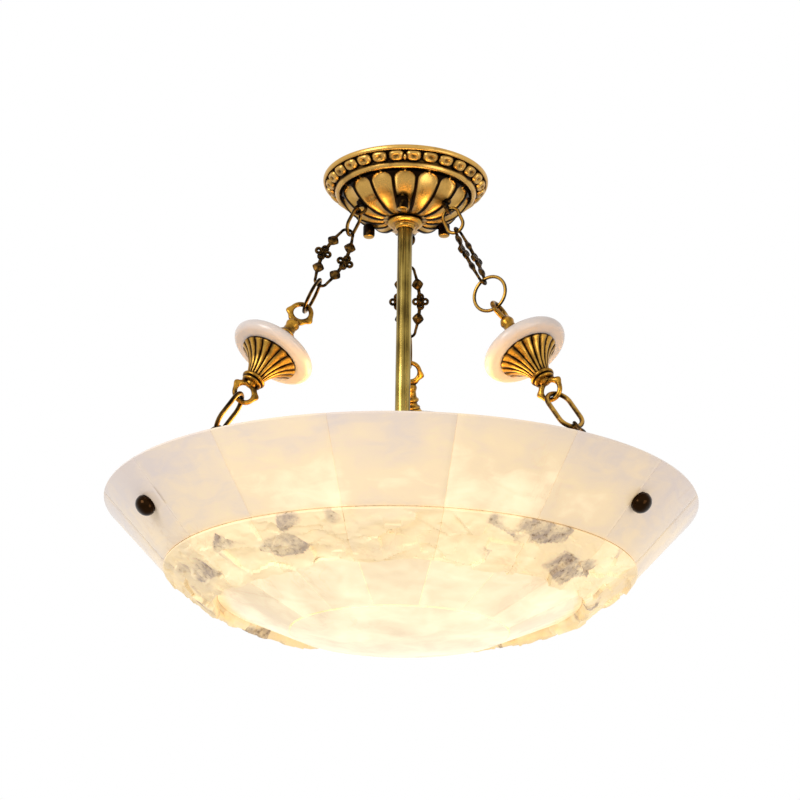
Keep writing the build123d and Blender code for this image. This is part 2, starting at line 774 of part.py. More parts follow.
cap_line = [
    Line((0, cap_start), (bulb_cap_radius * 0.6, cap_start)),
    Line((bulb_cap_radius * 0.6, cap_start), (bulb_cap_radius, cap_start + 2.5)),
    Line((bulb_cap_radius, cap_start + 2.5), (bulb_cap_radius, cup_end + 1.0)),
    Line((bulb_cap_radius, cup_end + 1.0), (globe_neck_radius, neck_end)),
    ThreePointArc((globe_neck_radius, neck_end), (bulb_radius, globe_centre), (0, globe_centre + bulb_radius)),
    Line((0, globe_centre + bulb_radius), (0, cap_start)),
]
bulb = Rot(0, 90, 0) * revolve(make_face(Plane.XZ * Curve(cap_line)), Axis.Z)
nodes["lampholder_cups"] = group(around(Pos(0, 0, lamp_height) * cup, lamp_angles))
nodes["lampholder_cores"] = group(around(Pos(0, 0, lamp_height) * core, lamp_angles))
for i, placed in enumerate(around(Pos(0, 0, lamp_height) * bulb, lamp_angles)):
    nodes[f"bulb_{i + 1}"] = placed

for name, shape in nodes.items():
    export_step(shape, f"parts/{name}.step")

print("nodes", len(nodes))
print("rim height", round(rim_height, 3), "overall height", round(-rim_height + bottom_drop, 3))
print("chain leans", [round(value, 4) for value in leans])
print("chain points", [(round(r, 4), round(z, 4)) for r, z in chain_points])
print("bolt outer", round(bolt_outer_radius, 4), round(rim_height - bolt_drop, 4))
print("bolt axis inwards", round(inward_radius, 6), round(inward_height, 6))
print("lamp height", round(lamp_height, 4), "hub top", round(hub_top, 4))
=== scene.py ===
# %% [markdown]
# # A stone bowl light on ornamental chains
# The light hangs from a cast brass canopy. Three chains, each with a stone disc and a fluted bell,
# carry a shallow bowl that is pieced together from slabs of translucent stone. A tube runs down the
# middle to three lamps inside the bowl. The measured solids come in first and stay where they are;
# each cell then dresses one group of them with a finished surface.

# %% Load the measured frame
import math

import bmesh
import bpy
import numpy as np
from mathutils import Matrix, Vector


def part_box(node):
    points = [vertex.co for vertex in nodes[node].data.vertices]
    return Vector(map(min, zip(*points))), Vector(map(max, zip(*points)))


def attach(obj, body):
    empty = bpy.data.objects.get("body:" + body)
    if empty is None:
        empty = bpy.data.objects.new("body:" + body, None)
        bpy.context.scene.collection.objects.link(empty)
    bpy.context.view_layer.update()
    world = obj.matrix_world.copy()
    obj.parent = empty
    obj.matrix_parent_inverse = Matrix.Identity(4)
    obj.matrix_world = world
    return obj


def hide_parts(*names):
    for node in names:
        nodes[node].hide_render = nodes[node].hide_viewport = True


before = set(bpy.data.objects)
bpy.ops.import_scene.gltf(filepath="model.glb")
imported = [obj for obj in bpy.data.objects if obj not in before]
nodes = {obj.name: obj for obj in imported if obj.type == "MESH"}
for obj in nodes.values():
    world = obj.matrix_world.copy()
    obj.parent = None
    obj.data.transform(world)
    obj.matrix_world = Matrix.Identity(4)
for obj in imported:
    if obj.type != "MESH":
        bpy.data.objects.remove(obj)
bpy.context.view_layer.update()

MM = 0.001

# %% [markdown]
# ## Camera
# The picture was taken from below the rim, looking slightly up, with a long lens. The camera's place
# and turn come from matching the rim, the stem, the bolts and the canopy to the picture.

# %% Camera
def in_scene(name, data):
    """A new object in the scene."""
    thing = bpy.data.objects.new(name, data)
    bpy.context.scene.collection.objects.link(thing)
    return thing


def facing(right, up, away, place):
    """Matrix of a camera or a lamp from its own three directions and its place."""
    turn = np.eye(4)
    turn[:3] = np.stack([right, up, away, place], axis=1)
    return Matrix(turn.tolist())


camera_place = np.array([23.914, -1682.241, -808.349]) * MM
pitch, yaw, roll = 0.345345, -0.015518, 0.014671
forward = np.array([math.sin(yaw) * math.cos(pitch), math.cos(yaw) * math.cos(pitch), math.sin(pitch)])
level_right = np.array([math.cos(yaw), -math.sin(yaw), 0.0])
level_up = np.cross(level_right, forward)
right = math.cos(roll) * level_right + math.sin(roll) * level_up
up = -math.sin(roll) * level_right + math.cos(roll) * level_up
camera_data = bpy.data.cameras.new("camera")
camera_data.sensor_width = 36.0
camera_data.lens = 95.73
camera = in_scene("camera", camera_data)
camera.matrix_world = facing(right, up, -forward, camera_place)
bpy.context.scene.camera = camera
print("camera", camera_place)

# %% [markdown]
# ## Surfaces worked out as arrays
# Every new piece is a grid of points: one direction runs along a profile or a path, the other runs
# round it. The helpers below turn such grids into meshes, so that each piece is only its formula.

# %% Grid to mesh
def full_turn(count):
    """Angles that share out a whole turn."""
    return np.linspace(0, 2 * np.pi, count, endpoint=False)


def sheet(points, wrap_rows=False):
    """Quads between neighbouring points of a grid (rows, columns, 3); the columns close round."""
    rows, columns = points.shape[:2]
    index = np.arange(rows * columns).reshape(rows, columns)
    index = np.concatenate([index, index[:, :1]], axis=1)
    if wrap_rows:
        index = np.concatenate([index, index[:1]], axis=0)
    faces = np.stack([index[:-1, :-1], index[1:, :-1], index[1:, 1:], index[:-1, 1:]], axis=-1)
    return points.reshape(-1, 3), faces.reshape(-1, 4).tolist()


def joined(parts):
    """One list of points and faces from several."""
    points, faces, count = [], [], 0
    for part_points, part_faces in parts:
        points.append(part_points)
        faces += [[corner + count for corner in face] for face in part_faces]
        count += len(part_points)
    return np.concatenate(points), faces


def moved(part, matrix):
    """The same part with its points carried by a 4 by 4 matrix."""
    points, faces = part
    matrix = np.array(matrix)
    return points @ matrix[:3, :3].T + matrix[:3, 3], faces


def piece(name, part, material, replaces, body="root", slot="antique_brass", sharp=40.0, values=None):
    """A mesh object from points in millimetres: doubles merged, faces outwards, shaded smooth."""
    points, faces = part
    mesh = bpy.data.meshes.new(name)
    mesh.from_pydata((points * MM).tolist(), [], faces)
    for key, numbers in (values or {}).items():
        layer = mesh.attributes.new(key, "FLOAT", "POINT")
        layer.data.foreach_set("value", np.asarray(numbers, np.float32).ravel())
    shape = bmesh.new()
    shape.from_mesh(mesh)
    bmesh.ops.remove_doubles(shape, verts=shape.verts, dist=2e-6)
    bmesh.ops.recalc_face_normals(shape, faces=shape.faces)
    shape.to_mesh(mesh)
    shape.free()
    mesh.shade_smooth()
    mesh.set_sharp_from_angle(angle=math.radians(sharp))
    mesh.materials.append(material)
    thing = in_scene(name, mesh)
    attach(thing, body)
    for node in replaces:
        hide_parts(node)
    return thing


# %% Profiles and paths
def rounded(corners, radius, steps=4, closed=True):
    """Each corner becomes a short curve between the points one radius before and after it."""
    corners = np.asarray(corners, float)
    before, after = np.roll(corners, 1, axis=0), np.roll(corners, -1, axis=0)
    radius = np.broadcast_to(np.asarray(radius, float), (len(corners),))[:, None]

    def towards(other):
        gap = other - corners
        size = np.linalg.norm(gap, axis=1, keepdims=True)
        return corners + gap / size * np.minimum(radius, size * 0.45)

    start, end = towards(before)[:, None], towards(after)[:, None]
    t = np.linspace(0, 1, steps)[None, :, None]
    curve = (1 - t) ** 2 * start + 2 * t * (1 - t) * corners[:, None] + t**2 * end
    if closed:
        return curve.reshape(-1, 2)
    return np.concatenate([corners[:1], curve[1:-1].reshape(-1, 2), corners[-1:]])


def spaced(line, step, closed=True):
    """The same line with points about one step apart, measured along it."""
    line = np.asarray(line, float)
    if closed:
        line = np.concatenate([line, line[:1]])
    length = np.concatenate([[0], np.cumsum(np.linalg.norm(np.diff(line, axis=0), axis=1))])
    count = max(int(round(length[-1] / step)), 4)
    at = np.linspace(0, length[-1], count + 1)[: count if closed else None]
    return np.stack([np.interp(at, length, line[:, k]) for k in range(line.shape[1])], axis=1)


def arc_through(a, b, c, count):
    """Points on the circle through three points, from the first to the last."""
    a, b, c = (complex(*p) for p in (a, b, c))
    w = (c - a) / (b - a)
    centre = (b - a) * (w - abs(w) ** 2) / (2j * w.imag) + a
    first = np.angle(a - centre)
    swing = np.angle((c - centre) / (a - centre))
    middle = np.angle((b - centre) / (a - centre))
    if swing * middle < 0:
        swing -= math.copysign(2 * math.pi, swing)
    turned = centre + abs(a - centre) * np.exp(1j * (first + np.linspace(0, 1, count) * swing))
    return np.stack([turned.real, turned.imag], axis=1)


def outward(line, closed=True):
    """Unit normals of a line in a plane, on its right-hand side."""
    if closed:
        along = np.roll(line, -1, axis=0) - np.roll(line, 1, axis=0)
    else:
        along = np.gradient(line, axis=0)
    along = along / np.maximum(np.linalg.norm(along, axis=1, keepdims=True), 1e-9)
    return np.stack([along[:, 1], -along[:, 0]], axis=1)


# %% Turned pieces and bent wire
def lathe(profile, steps=96, closed=False, relief=None):
    """A point (r, z) turned by the angle a lies at (r cos a, r sin a, z); relief lifts it along
    the profile's normal by a height that depends on the point and on the angle."""
    profile = np.asarray(profile, float)
    angle = full_turn(steps)
    lift = np.zeros((len(profile), steps)) if relief is None else relief(profile, angle)
    normal = outward(profile, closed)
    r = profile[:, None, 0] + normal[:, None, 0] * lift
    z = profile[:, None, 1] + normal[:, None, 1] * lift
    points = np.stack([r * np.cos(angle), r * np.sin(angle), z + 0 * angle], axis=-1)
    return sheet(points, wrap_rows=closed)


def wire(path, radius, sides=14, closed=True, depth=1.0):
    """A circle carried along a path in the XZ plane: path + radius (cos b normal + sin b Y)."""
    path = np.asarray(path, float)
    radius = np.broadcast_to(np.asarray(radius, float), (len(path),))[:, None]
    normal = outward(path, closed)
    angle = full_turn(sides)
    x = path[:, :1] + normal[:, :1] * radius * np.cos(angle)
    z = path[:, 1:] + normal[:, 1:] * radius * np.cos(angle)
    y = radius * depth * np.sin(angle)
    return sheet(np.stack([x, y, z], axis=-1), wrap_rows=closed)


def painted_flank_reflection(part, sides=14, depth=0.75):
    """Painted dark reflection round a wire: depth times cos b squared, so its inner and outer edges are
    painted dark and its two faces stay bright.
    """
    angle = full_turn(sides)
    return {"deep": np.tile(depth * np.cos(angle) ** 2, len(part[0]) // sides)}


def ring_path(inner_length, inner_width, radius, count=28):
    """Middle line of an oval link: two half circles joined by straight sides."""
    turn = inner_width / 2 + radius
    half = (inner_length - inner_width) / 2
    a = np.linspace(0, np.pi, count)
    top = np.stack([turn * np.cos(a), half + turn * np.sin(a)], axis=1)
    return spaced(np.concatenate([top, -top]), 1.0)


def pebble(centre, half_sizes, rows=12, columns=20, power=1.0):
    """Ellipsoid: half sizes times (cos u cos v, cos u sin v, sin u); a power under 1 squares it."""
    u = np.linspace(-np.pi / 2, np.pi / 2, rows)[:, None]
    v = full_turn(columns)[None, :]

    def eased(x):
        return np.sign(x) * np.abs(x) ** power

    unit = np.stack([eased(np.cos(u)) * eased(np.cos(v)), eased(np.cos(u)) * eased(np.sin(v)),
                     eased(np.sin(u)) + 0 * v], axis=-1)
    return sheet(unit * np.asarray(half_sizes) + np.asarray(centre))


def move_by(x, y, z):
    """Move in millimetres, as a 4 by 4 matrix."""
    return Matrix.Translation((x, y, z))


def turn_about(axis, degrees):
    """Turn about an axis of the model, as a 4 by 4 matrix."""
    return Matrix.Rotation(math.radians(degrees), 4, axis)


print("helpers ready")

# %% [markdown]
# ## Finishes
# A finish starts from what the real thing is made of. Colours are given in hex as seen on a screen,
# and `linear` turns them into the light values that the shader works with.

# %% Node helpers
def linear(text):
    """sRGB hex to linear RGBA."""
    value = np.array([int(text[i:i + 2], 16) for i in (1, 3, 5)]) / 255.0
    value = np.where(value <= 0.04045, value / 12.92, ((value + 0.055) / 1.055) ** 2.4)
    return (*value.tolist(), 1.0)


def drive(node, *values, **named):
    """Values or links go to the inputs of a node, the first ones in order and the rest by name."""
    sockets = [*zip(node.inputs, values)]
    sockets += [(node.inputs[key.replace("_", " ")], value) for key, value in named.items()]
    for socket, value in sockets:
        if isinstance(value, bpy.types.NodeSocket):
            node.id_data.links.new(value, socket)
        else:
            socket.default_value = value


def add(tree, kind, *values, out=0, stops=(), **more):
    """One node with its settings and links, given by its output. Names in small letters are
    settings and the others inputs; stops are the places and hex colours of a colour ramp."""
    node = tree.nodes.new("ShaderNode" + kind)
    settings = {key: value for key, value in more.items() if key.islower()}
    for key, value in settings.items():
        setattr(node, key, value)
    drive(node, *values, **{key: value for key, value in more.items() if key not in settings})
    for k, (position, colour) in enumerate(stops):
        elements = node.color_ramp.elements
        stop = elements.new(position) if 0 < k < len(stops) - 1 else elements[-1 if k else 0]
        stop.position = position
        stop.color = linear(colour)
    return node.outputs[out]


def finish(name, **inputs):
    """A new material: its node tree, its shader and the Object coordinates."""
    material = bpy.data.materials.new(name)
    material.use_nodes = True
    tree = material.node_tree
    shader = tree.nodes["Principled BSDF"]
    drive(shader, **inputs)
    return material, tree, shader, add(tree, "TexCoord", out="Object")


def refinish(material, *names):
    """Measured solids that stay in view take a finish."""
    for name in names:
        nodes[name].data.materials.clear()
        nodes[name].data.materials.append(material)


# %% [markdown]
# ### Cast brass with a dark patina and painted shade
# The castings are brass that was darkened all over and then rubbed bright on what stands out, so
# hollows stay nearly black and the crowns shine yellow; that black is patina and painted shade both.
# The hollows are found by how much of the surroundings a point can see within a few millimetres, a
# cloudy noise breaks that up, and `deep`, stored on the mesh, darkens further: down in a groove it is
# patina and painted shade, and round the flank of a wire it is a painted dark reflection.

# %% Brass finishes
def rubbed_brass_with_painted_shade(name, dark, middle, bright, roughness, reach, grain=6.0, cut=(0.25, 0.95)):
    """Brass from dark hollows to bright crowns, the dark being patina and painted shade; reach is how far
    a hollow can see, in millimetres, and cut is the range of openness over which the colour changes."""
    material, tree, shader, place = finish(name, Metallic=1.0, Roughness=roughness)
    # Painted shade: the less of its surroundings a point sees, the darker it is painted, on top of the
    # patina.
    seen = add(tree, "AmbientOcclusion", samples=8, Distance=reach * MM, out="AO")
    clouds = add(tree, "TexNoise", Vector=place, Scale=1 / (grain * MM), Detail=4.0)
    fine = add(tree, "TexNoise", Vector=place, Scale=1 / (0.9 * MM), Detail=2.0)
    deep = add(tree, "Attribute", attribute_name="deep", out="Fac")
    shift = add(tree, "MapRange", clouds, 0.3, 0.7, -0.22, 0.16)
    seen = add(tree, "Math", seen, shift, operation="ADD")
    open_share = add(tree, "Math", seen, deep, operation="SUBTRACT")
    level = add(tree, "MapRange", open_share, cut[0], cut[1])
    colour = add(tree, "ValToRGB", level, stops=[(0.0, dark), (0.42, middle), (0.8, bright), (1.0, bright)])
    scratch = add(tree, "MapRange", fine, 0.3, 0.7, -0.25, 0.25)
    uneven = add(tree, "Math", level, scratch, operation="ADD")
    rough = add(tree, "MapRange", uneven, 0.0, 1.0, roughness + 0.22, roughness)
    bump = add(tree, "Bump", Height=fine, Distance=0.06 * MM, Strength=0.35)
    drive(shader, Base_Color=colour, Roughness=rough, Normal=bump)
    return material


# Base colours of metal are what it shows in a white room: a rubbed crown is a deep yellow.
cast_brass = rubbed_brass_with_painted_shade("cast_brass_rubbed", "#140B05", "#7A5826", "#C2933F", 0.25, 6.0,
                          cut=(0.3, 1.05))
petal_brass = rubbed_brass_with_painted_shade("cast_brass_canopy", "#120A05", "#866430", "#CCA054", 0.27, 8.0,
                           grain=14.0, cut=(0.3, 1.05))
# The stirrups take a darker copy of the cast brass, whose extra darkness is painted shade.
shaded_brass = rubbed_brass_with_painted_shade("cast_brass_shaded", "#0D0804", "#402B12", "#B5842F", 0.22, 6.0,
                            cut=(0.4, 1.2))
wire_brass = rubbed_brass_with_painted_shade("wire_brass_aged", "#160E07", "#654A20", "#B58A3C", 0.28, 4.0, cut=(0.2, 1.0))
black_brass = rubbed_brass_with_painted_shade("cast_brass_blackened", "#080503", "#181008", "#6E4E20", 0.32, 5.0,
                           grain=3.5, cut=(0.55, 1.35))
bronze = rubbed_brass_with_painted_shade("polished_bronze_dark", "#0C0704", "#170D06", "#26170A", 0.13, 2.0)
print("brass finishes", 6)

# %% [markdown]
# ### Drawn brass tube
# The stem is a drawn tube. Drawing and rubbing leave streaks along its length: noise that is 60
# times longer along Z than across makes them, about 1 mm wide. The plate, the porcelain and the
# lamps have plain finishes with a slight cloud.

# %% Stem, plated steel, porcelain and lamp finishes
tube_brass, tree, shader, place = finish("drawn_brass_tube", Metallic=1.0, Roughness=0.3)
long_way = add(tree, "Mapping", place, Scale=(1.0, 1.0, 1 / 60.0))
streaks = add(tree, "TexNoise", Vector=long_way, Scale=1 / (1.4 * MM), Detail=3.0)
stains = add(tree, "TexNoise", Vector=place, Scale=1 / (26 * MM), Detail=3.0)
shift = add(tree, "MapRange", stains, 0.3, 0.7, -0.12, 0.12)
level = add(tree, "Math", streaks, shift, operation="ADD")
colour = add(tree, "ValToRGB", level, stops=[(0.3, "#4A3A18"), (0.48, "#8C7638"), (0.7, "#B79F58")])
rough = add(tree, "MapRange", streaks, 0.3, 0.7, 0.4, 0.24)
drive(shader, Base_Color=colour, Roughness=rough)

plated, tree, shader, place = finish("zinc_plated_steel", Metallic=1.0, Roughness=0.36)
spangle = add(tree, "TexVoronoi", Vector=place, Scale=1 / (4 * MM), out="Color")
level = add(tree, "SeparateColor", spangle)
drive(shader, Base_Color=add(tree, "ValToRGB", level, stops=[(0.0, "#A9ADB0"), (1.0, "#C6C9CB")]))

porcelain, tree, shader, place = finish("glazed_porcelain", Roughness=0.18)
glaze = add(tree, "TexNoise", Vector=place, Scale=1 / (9 * MM))
drive(shader, Base_Color=add(tree, "ValToRGB", glaze, stops=[(0.3, "#E9E4DA"), (0.7, "#F5F2EA")]))

lamp_glass, tree, shader, place = finish("frosted_lamp_lit", Roughness=0.5, Emission_Strength=1.0,
                                         Emission_Color=linear("#FFDFA0"))
frost = add(tree, "TexNoise", Vector=place, Scale=1 / (18 * MM))
drive(shader, Base_Color=add(tree, "ValToRGB", frost, stops=[(0.3, "#FFE7B8"), (0.7, "#FFEFCB")]))
print("plain finishes", 4)

# %% [markdown]
# ### Translucent stone
# The slabs are a milky stone, cut about 12 mm thick and polished. Lit from inside, each slab glows
# by how near the lamps are, and a thick or cloudy place stays pinkish grey. The glow is worked out
# once per point of the mesh, from the three lamps, and stored on it; `slab` holds each slab's own
# tone, because no two slabs come from the same place in the block.

# %% Stone finishes
def lit_stone(name, cool, warm, glow_cool, glow_warm, strength, roughness, cloud=45.0, painted_hollow_shade=None):
    """Stone lit from behind: the colour and the glow both go from cool to warm with the light.
    Cloud is the size of the clouds; painted_hollow_shade is the colour and the glow of painted shade in
    hollows."""
    material, tree, shader, place = finish(name, Roughness=roughness, IOR=1.52, Emission_Strength=strength)
    clouds = add(tree, "TexNoise", Vector=place, Scale=1 / (cloud * MM), Detail=5.0, Distortion=0.6)
    flattened = add(tree, "Mapping", place, Scale=(1.0, 1.0, 3.2))
    bands = add(tree, "TexNoise", Vector=flattened, Scale=1 / (cloud * 0.7 * MM), Detail=6.0,
                Distortion=1.2)
    level = add(tree, "Attribute", attribute_name="glow", out="Fac")
    slab = add(tree, "Attribute", attribute_name="slab", out="Fac")
    changes = ((clouds, 0.3, 0.7, 0.16), (slab, 0.0, 1.0, 0.2), (bands, 0.35, 0.65, 0.07))
    for value, low, high, change in changes:
        shift = add(tree, "MapRange", value, low, high, -change, change)
        level = add(tree, "Math", level, shift, operation="ADD")
    body_colour = add(tree, "ValToRGB", level, stops=[(0.0, cool), (0.5, warm), (1.0, warm)])
    glow_colour = add(tree, "ValToRGB", level,
                      stops=[(0.0, glow_cool), (0.55, glow_warm), (1.0, "#FFEFC0")])
    # Thin brown veins run where a large noise crosses its middle value, in some places only.
    vein = add(tree, "TexNoise", Vector=place, Scale=1 / (70 * MM), Detail=7.0, Roughness=0.62,
               Distortion=0.9)
    off_middle = add(tree, "Math", vein, 0.5, operation="SUBTRACT")
    off_line = add(tree, "Math", off_middle, operation="ABSOLUTE")
    veins = add(tree, "MapRange", off_line, 0.0, 0.02, 0.2, 0.0)
    patch = add(tree, "TexNoise", Vector=place, Scale=1 / (120 * MM), Detail=2.0)
    veined = add(tree, "MapRange", patch, 0.5, 0.62)
    vein_share = add(tree, "Math", veins, veined, operation="MULTIPLY")
    body_colour = add(tree, "MixRGB", vein_share, body_colour, linear("#C9A77C"))
    glow_colour = add(tree, "MixRGB", vein_share, glow_colour, linear("#8E6B45"))
    if painted_hollow_shade:
        # Painted shade: the patches marked hollow and the places that see little within 9 mm, as under
        # the ledge, are painted greyer and darker and glow less; rusty specks lie only in that shade, and
        # the split face is gritty.
        patches = add(tree, "TexNoise", Vector=place, Scale=1 / (9 * MM), Detail=5.0, Roughness=0.6)
        hollow = add(tree, "Attribute", attribute_name="hollow", out="Fac")
        patched = add(tree, "MapRange", patches, 0.32, 0.6, 0.15, 0.85)
        shade = add(tree, "Math", hollow, patched, operation="MULTIPLY")
        seen = add(tree, "AmbientOcclusion", samples=8, Distance=9 * MM, out="AO")
        painted_ledge_shade = add(tree, "MapRange", seen, 0.2, 0.62, 0.75, 0.0)
        shade = add(tree, "Math", shade, painted_ledge_shade, operation="MAXIMUM")
        specks = add(tree, "TexNoise", Vector=place, Scale=1 / (3.2 * MM), Detail=4.0)
        speckled = add(tree, "MapRange", specks, 0.56, 0.66, 0.0, 0.85)
        rust_in_shade = add(tree, "Math", shade, speckled, operation="MULTIPLY")
        body_colour = add(tree, "MixRGB", shade, body_colour, linear(painted_hollow_shade[0]))
        body_colour = add(tree, "MixRGB", rust_in_shade, body_colour, linear("#6B4A2A"))
        glow_colour = add(tree, "MixRGB", shade, glow_colour, linear(painted_hollow_shade[1]))
        fine = add(tree, "TexNoise", Vector=place, Scale=1 / (2.2 * MM), Detail=6.0)
        grit = add(tree, "Math", fine, 0.4, operation="MULTIPLY")
        relief = add(tree, "Math", patches, grit, operation="ADD")
        drive(shader, Normal=add(tree, "Bump", Height=relief, Distance=0.9 * MM, Strength=0.3))
    drive(shader, Base_Color=body_colour, Emission_Color=glow_colour)
    return material


upper_stone = lit_stone("milky_stone_polished", "#ECDDD4", "#F5E3C4", "#55453A", "#AE8A4E", 0.55, 0.22)
# The split blocks carry painted shade: their hollows take a grey body colour and a low glow.
rough_stone = lit_stone("milky_stone_split", "#EDDFCA", "#F6E4C0", "#75603F", "#BA9553", 0.64, 0.5,
                        painted_hollow_shade=("#B09A8E", "#271D16"))
lower_stone = lit_stone("milky_stone_glowing", "#F2E5CC", "#F8EACE", "#8C7550", "#BC9E6C", 0.67, 0.25)
disc_stone = lit_stone("milky_stone_disc", "#DCCFC8", "#E2D2C4", "#3A302A", "#5C4A38", 0.15, 0.2,
                       cloud=14.0)
print("stone finishes", 4)

# %% [markdown]
# ## Canopy
# One casting: a rounded lip, a hollow with a row of small oval tablets, a rounded ring, and a
# shallow dome cut into sixteen petals. The dome is a lathe surface that is lifted along its normal
# by the height of the petals, so the petals need no separate pieces.

# %% Canopy shell
petal_count = 16
front_angle = math.radians(-90.0)
petal_rise = 3.6
petal_sink = 1.6
petal_fill = 0.92
dome_outside = arc_through((54.8, -14.4), (44.0, -29.5), (18.0, -38.0), 64)
hollow_top = np.array([68.4, -3.2])
hollow_foot = np.array([61.4, -9.6])
lip = rounded([(69.6, 0.0), (71.9, 0.0), (71.9, -2.6), (70.8, -4.3), (69.4, -3.9), hollow_top, hollow_foot,
               (61.6, -12.6), (59.8, -15.4), (57.4, -15.2), (55.9, -12.4)], 1.1, steps=5, closed=False)
dome_inside = arc_through((18.0, -35.4), (42.2, -27.8), (52.4, -12.2), 24)
inside = np.array([(6.7, -38.0), (6.7, -35.4)])
shell_line = np.concatenate([lip, dome_outside, inside, dome_inside, [(55.6, -11.6), (69.5, -2.6)]])
dome_start, dome_end = len(lip), len(lip) + len(dome_outside)


def petals(profile, angle):
    """Petal height: a half ellipse across each sixteenth, whose width rises like an arch from the
    ring and narrows towards the stem; between two petals the height drops to a groove."""
    share = np.zeros(len(profile))
    share[dome_start:dome_end] = np.linspace(0, 1, dome_end - dome_start)
    on_dome = np.clip(np.minimum(share / 0.04, (1 - share) / 0.05), 0, 1)
    across = ((angle - front_angle) * petal_count / (2 * np.pi) + 0.5) % 1.0 * 2 - 1
    arch = np.clip(1 - (np.clip(0.2 - share, 0, None) / 0.17) ** 2.6, 0, 1) ** 0.5
    width = np.maximum(petal_fill * arch * (1 - 0.2 * share**2), 1e-3)
    height = np.sqrt(np.clip(1 - (across[None, :] / width[:, None]) ** 2, 0, None)) ** 0.8
    canopy_crown[:] = np.where(on_dome[:, None] > 0, height, 1.0)
    return on_dome[:, None] * (petal_rise * height * (1 - 0.45 * share[:, None]) - petal_sink)


canopy_angles = 384
canopy_crown = np.ones((len(shell_line), canopy_angles))
canopy_part = lathe(shell_line, canopy_angles, closed=True, relief=petals)
# Painted shade with the patina: the grooves between the petals and the hollow of the lip are painted dark.
canopy_patina_and_shade = 1.1 * np.clip(1 - canopy_crown / 0.55, 0, 1)
in_hollow = np.zeros(len(shell_line))
in_hollow[:dome_start] = np.clip((69.5 - lip[:, 0]) / 1.0, 0, 1) * np.clip((lip[:, 0] - 61.2) / 1.0, 0, 1)
canopy_patina_and_shade = np.maximum(canopy_patina_and_shade, 0.95 * in_hollow[:, None])
piece("canopy_cast_shell", canopy_part, petal_brass, ["canopy_shell"], sharp=50.0,
      values={"deep": canopy_patina_and_shade})
print("canopy faces", len(canopy_part[1]))

# %% Canopy tablets
tablet_count = 28
tablet_rings, tablet_sides = 12, 32
dart_count = 4
hollow_middle = (hollow_top + hollow_foot) / 2
hollow_tilt = math.degrees(math.atan2(*(hollow_top - hollow_foot)[::-1]))


def tablet(half_across, half_along, height):
    """Oval cushion with a dished middle: height (1 - s^4) less a dimple exp(-(s / 0.34)^2)."""
    s = np.linspace(0, 1, tablet_rings)[:, None]
    a = full_turn(tablet_sides)[None, :]
    x = half_along * s * np.sign(np.cos(a)) * np.abs(np.cos(a)) ** 0.75
    y = half_across * s * np.sign(np.sin(a)) * np.abs(np.sin(a)) ** 0.75
    z = height * (1 - s**4) - 0.45 * height * np.exp(-((s / 0.34) ** 2)) + 0 * a
    skin_points, skin_faces = sheet(np.stack([x, y, -z], axis=-1))
    return skin_points, skin_faces + [list(range(len(skin_points)))[-tablet_sides:]]


tablets = []
oval_cushion = tablet(7.0, 5.3, 3.6)
seat = move_by(hollow_middle[0], 0, hollow_middle[1]) @ turn_about("Y", -hollow_tilt)
for i in range(tablet_count):
    spin = turn_about("Z", -90.0 + (i + 0.5) * 360.0 / tablet_count)
    tablets.append(moved(oval_cushion, spin @ seat))
dart = pebble((hollow_middle[0], 0, hollow_middle[1] - 2.0), (3.6, 1.6, 2.6))
for i in range(dart_count):
    tablets.append(moved(dart, turn_about("Z", -90.0 + i * 360.0 / dart_count)))
tablet_s = np.repeat(np.linspace(0, 1, tablet_rings), tablet_sides)
# The tablets' dished middles and their edges are painted dark, as patina and painted shade.
tablet_patina_and_shade = 0.34 * np.exp(-((tablet_s / 0.45) ** 2)) + 0.9 * np.clip((tablet_s - 0.92) / 0.08, 0, 1)
tablets_patina_and_shade = np.concatenate([np.tile(tablet_patina_and_shade, tablet_count), np.zeros(dart_count * len(dart[0]))])
piece("canopy_oval_tablets", joined(tablets), petal_brass, [], values={"deep": tablets_patina_and_shade})
print("tablets", tablet_count)

# %% Collar, stem and the plate behind the canopy
collar_line = rounded([(6.45, -38.1), (13.6, -38.1), (15.4, -39.6), (15.2, -41.4), (12.6, -42.8),
                       (9.2, -42.8), (9.0, -45.0), (7.6, -46.5), (6.45, -46.5)], 0.9, steps=5)
piece("boss_collar_turned", lathe(collar_line, 96, closed=True), cast_brass, ["boss_collar"])
stem_low, stem_high = [corner.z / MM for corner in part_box("stem_tube")]
stem_bore, stem_radius = 5.05, 6.35
stem_line = rounded([(stem_bore, stem_low), (stem_radius, stem_low), (stem_radius, stem_high),
                     (stem_bore, stem_high)], 0.3, steps=3)
piece("stem_drawn_tube", lathe(stem_line, 64, closed=True), tube_brass, ["stem_tube"], slot="stem_brass")
refinish(plated, "mounting_plate", "stem_nipple", "stem_locknut")
print("stem from", round(stem_low, 1), "to", round(stem_high, 1))

# %% Knob screws under the dome
# The knobs and the lamps below stand at the same three angles.
lamp_angles = (-93.0, 27.0, 147.0)
knob_circle = 38.0
knob_sides = 40
knob_line = rounded([(0, -0.4), (2.0, -0.4), (2.0, -33.4), (4.3, -33.4), (5.1, -34.6), (5.1, -42.6),
                     (4.4, -44.6), (0, -44.9)], 0.7, steps=4, closed=False)
# The side of each knob's head is painted dark as a dark reflection.
knob_painted_reflection = np.repeat(0.7 * (knob_line[:, 0] > 4.6), knob_sides)
for n, angle in enumerate(lamp_angles, 1):
    seat = turn_about("Z", angle) @ move_by(knob_circle, 0, 0)
    knob = moved(lathe(knob_line, knob_sides), seat)
    piece(f"canopy_knob_screw_{n}", knob, cast_brass, [f"canopy_knob_{n}"], f"knob_{n}",
          values={"deep": knob_painted_reflection})
print("knobs", len(lamp_angles))

# %% [markdown]
# ## Chains
# A chain hangs from an eye in the dome to an eye bolt in the bowl. From the top: a small ring, a
# pierced link, a round ring, the spacer with its stone disc and bell, an oval link and another
# pierced link. Each is drawn upright about its own middle and is then leaned and turned into place.

